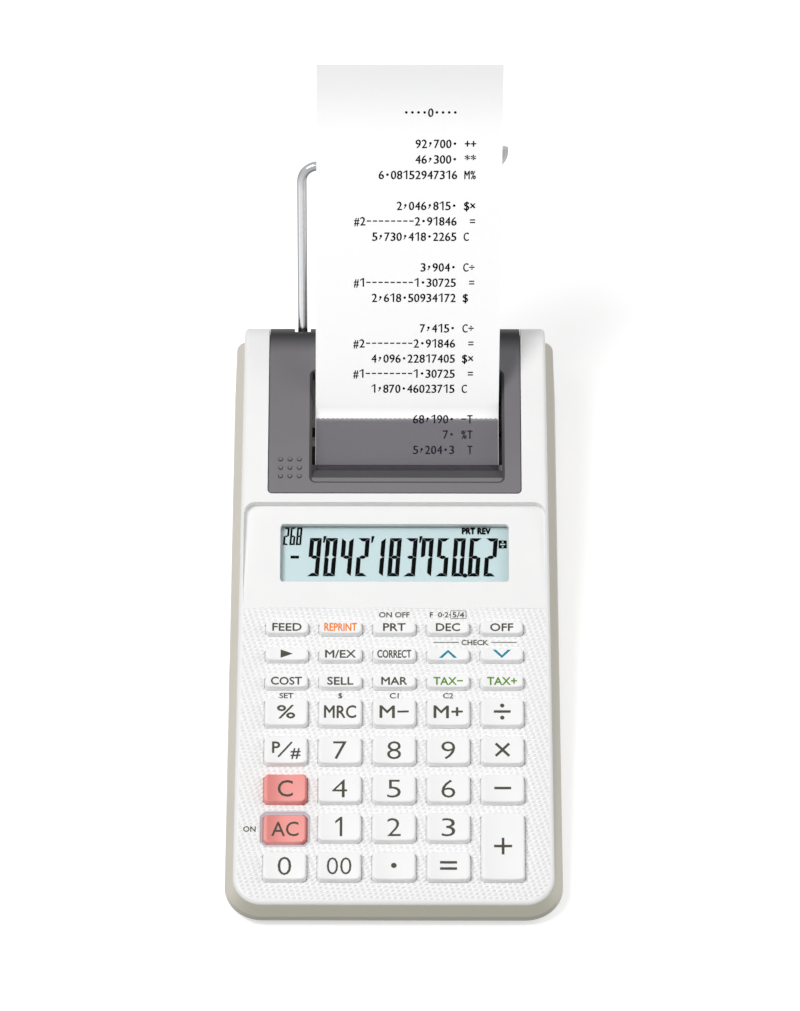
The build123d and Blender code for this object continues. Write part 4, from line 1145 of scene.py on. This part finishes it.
across = sheet_columns + 1
points = [sheet_point(strip_width * (column / sheet_columns - 0.5), length - tear_length)
          for length in lengths for column in range(across)]
faces = [(r * across + c, r * across + c + 1, (r + 1) * across + c + 1, (r + 1) * across + c)
         for r in range(len(lengths) - 1) for c in range(sheet_columns)]
sheet_mesh = bpy.data.meshes.new("paper_sheet")
sheet_mesh.from_pydata(points, [], faces)
sheet_mesh.shade_smooth()
faces_beside = Counter(key for face in sheet_mesh.polygons for key in face.edge_keys)
for edge in sheet_mesh.edges:
    edge.use_edge_sharp = faces_beside[edge.key] == 1
print("paper sheet with", len(faces), "faces")

# %% [markdown]
# ## Paper finish
# Paper is white fibre that lets some light through from behind. Sending rays through the sheet would be noisy, so a
# weak glow stands for that light. The top of the sheet and the bend over the tear edge carry painted shade and are a
# little greyer. The sheet takes the place of the CAD strip.

# %% Paper finish
through_light = 0.335
# reach of the painted shade at the top of the sheet
top_shade_length = 22.0
# reach and fade of the painted shade over the bend at the tear edge
bend_shade_depth, bend_shade_fade = 12.0, 2.2
paper, paper_shader, place = finish("paper", Specular_IOR_Level=0.15, Emission_Strength=through_light)
fibre = place.node("TexNoise", None, {"Vector": place, "Scale": 900.0, "Detail": 4.0, "Distortion": 0.6})
rise = along(place, upwards)
# painted shade towards the top of the sheet
top_painted_shade = rise.above(strip_high.z - top_shade_length, top_shade_length)
# painted shade over the bend at the tear edge
tear_bend_shade = rise.between(cutter_high.z - bend_shade_depth, cutter_high.z + bend_shade_fade, bend_shade_fade)
tone = fibre.mix(colour(227, 227, 227), colour(233, 233, 232))
tone = tear_bend_shade.mix(tone, colour(219, 219, 219))
plug(paper_shader, "Base Color", top_painted_shade.mix(tone, colour(204, 204, 205)))
plug(paper_shader, "Roughness", fibre * 0.1 + 0.85)
plug(paper_shader, "Emission Color", fibre.mix(colour(244, 245, 246), colour(250, 250, 250)))
plug(paper_shader, "Normal", bump(place, 0.12, 0.03, fibre))
sheet = new_piece("paper_sheet", sheet_mesh, "case", "paper", paper)
thicken = sheet.modifiers.new("thickness", "SOLIDIFY")
thicken.thickness = sheet_thickness * mm
thicken.offset = 0
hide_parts("paper_strip")
print("paper", sheet_thickness, "mm thick")

# %% [markdown]
# ## Printed lines
# A drum printer strikes its characters in equally wide columns, so the lines stand in columns too. The plainest
# characters are drawn. The others come from the font, each made once, squeezed to its column and struck twice, a
# little aside, to make it strong. The sums are plain made-up figures, listed from the printer upwards, and the first
# of them lie under the smoked window, where they still show.

# %% Characters of the drum
print_pitch = 1.87
print_height = 2.9
type_width = 0.82 * print_pitch
strike = 0.08
one_width, one_height = 0.6, 0.46
small_one = [(x * one_width, y * one_height) for x, y in plain_one]
comma_tail = [(0.4, 0.1), (-0.3, -1.05), (-0.55, -0.95), (-0.1, -0.2)]
letters = {"1": drawn([small_one]), "·": drawn([dot(0, 0, 0.42)]), "-": drawn([bar(0, 0, 1.32, 0.42)]),
           ",": drawn([dot(0, 0.15, 0.4), comma_tail])}


def letter(character):
    """A character of the drum, made once and no wider than its column."""
    if character not in letters:
        points, faces = printed(character, print_height)
        natural = 2 * max(point.x for point in points)
        squeeze = min(1.0, type_width / natural)
        single = [Vector((point.x * squeeze, point.y, point.z)) for point in points], faces
        letters[character] = joined([(single, (-strike, -strike / 2)), (single, (strike, strike / 2))])
    return letters[character]


print(len(letters), "drawn characters; the font makes the others")

# %% Receipt
line_pitch = 5.05
first_line = -10.62
number_edge = 13.9
sign_edge = 19.6
print_lift = 0.07
receipt = [
    ("5,204·3", "T"), ("7·", "%T"), ("68,190·", "-T"), None,
    ("1,870·46023715", "C "), ("#1--------1·30725", "="), ("4,096·22817405", "$×"), ("#2--------2·91846", "="),
    ("7,415·", "C÷"), None,
    ("2,618·50934172", "$ "), ("#1--------1·30725", "="), ("3,904·", "C÷"), None,
    ("5,730,418·2265", "C "), ("#2--------2·91846", "="), ("2,046,815·", "$×"), None,
    ("6·08152947316", "M%"), ("46,300·", "**"), ("92,700·", "++"), None,
    ("····0····", ""),
]
struck = []
for index, line in enumerate(receipt):
    for text, edge in zip(line or (), (number_edge, sign_edge)):
        for column, character in enumerate(reversed(text)):
            if character != " ":
                struck.append((letter(character), (edge - column * print_pitch, first_line + index * line_pitch)))
print_ink = ink_finish("print_ink", colour(3, 3, 4), colour(12, 12, 14), shine=0.02)
mesh = flat_mesh("receipt_print", joined(struck), lambda p: sheet_point(p.x, p.y, print_lift + p.z))
new_piece("receipt_print", mesh, "case", "paper", print_ink)
print(len(struck), "printed characters")

# %% [markdown]
# ## Wire arm
# The paper arm is one bent wire with a bright plated skin. A mirror needs something to reflect, and this studio is
# white all round, so a plain mirror would vanish in it. Darker flanks and a darker bow stand for the unlit sides of a
# room, and a faint mottle keeps the wire from looking like glass.

# %% Wire arm
wire_mottle = 5 / 3
flank_edge, flank_fade = 0.25, 0.5
bow_length, bow_fade = 14.0, 10.0
arm_top = box_mm("roll_arm")[1].z
wire, wire_shader, place = finish("arm_wire", Metallic=1.0)
mottle = grain(place, wire_mottle, 3.0)
sideways = facing(place, to_right)
flank = (sideways * sideways).above(flank_edge, flank_fade)
bow = along(place, upwards).above(arm_top - bow_length, bow_fade)
bright = bow.mix(mottle.mix(colour(218, 219, 221), colour(230, 231, 232)), colour(172, 173, 175))
plug(wire_shader, "Base Color", flank.mix(bright, colour(136, 137, 139)))
plug(wire_shader, "Roughness", mottle * 0.12 + 0.12)
dress("roll_arm", wire)
print("wire arm up to", round(arm_top, 1), "mm")
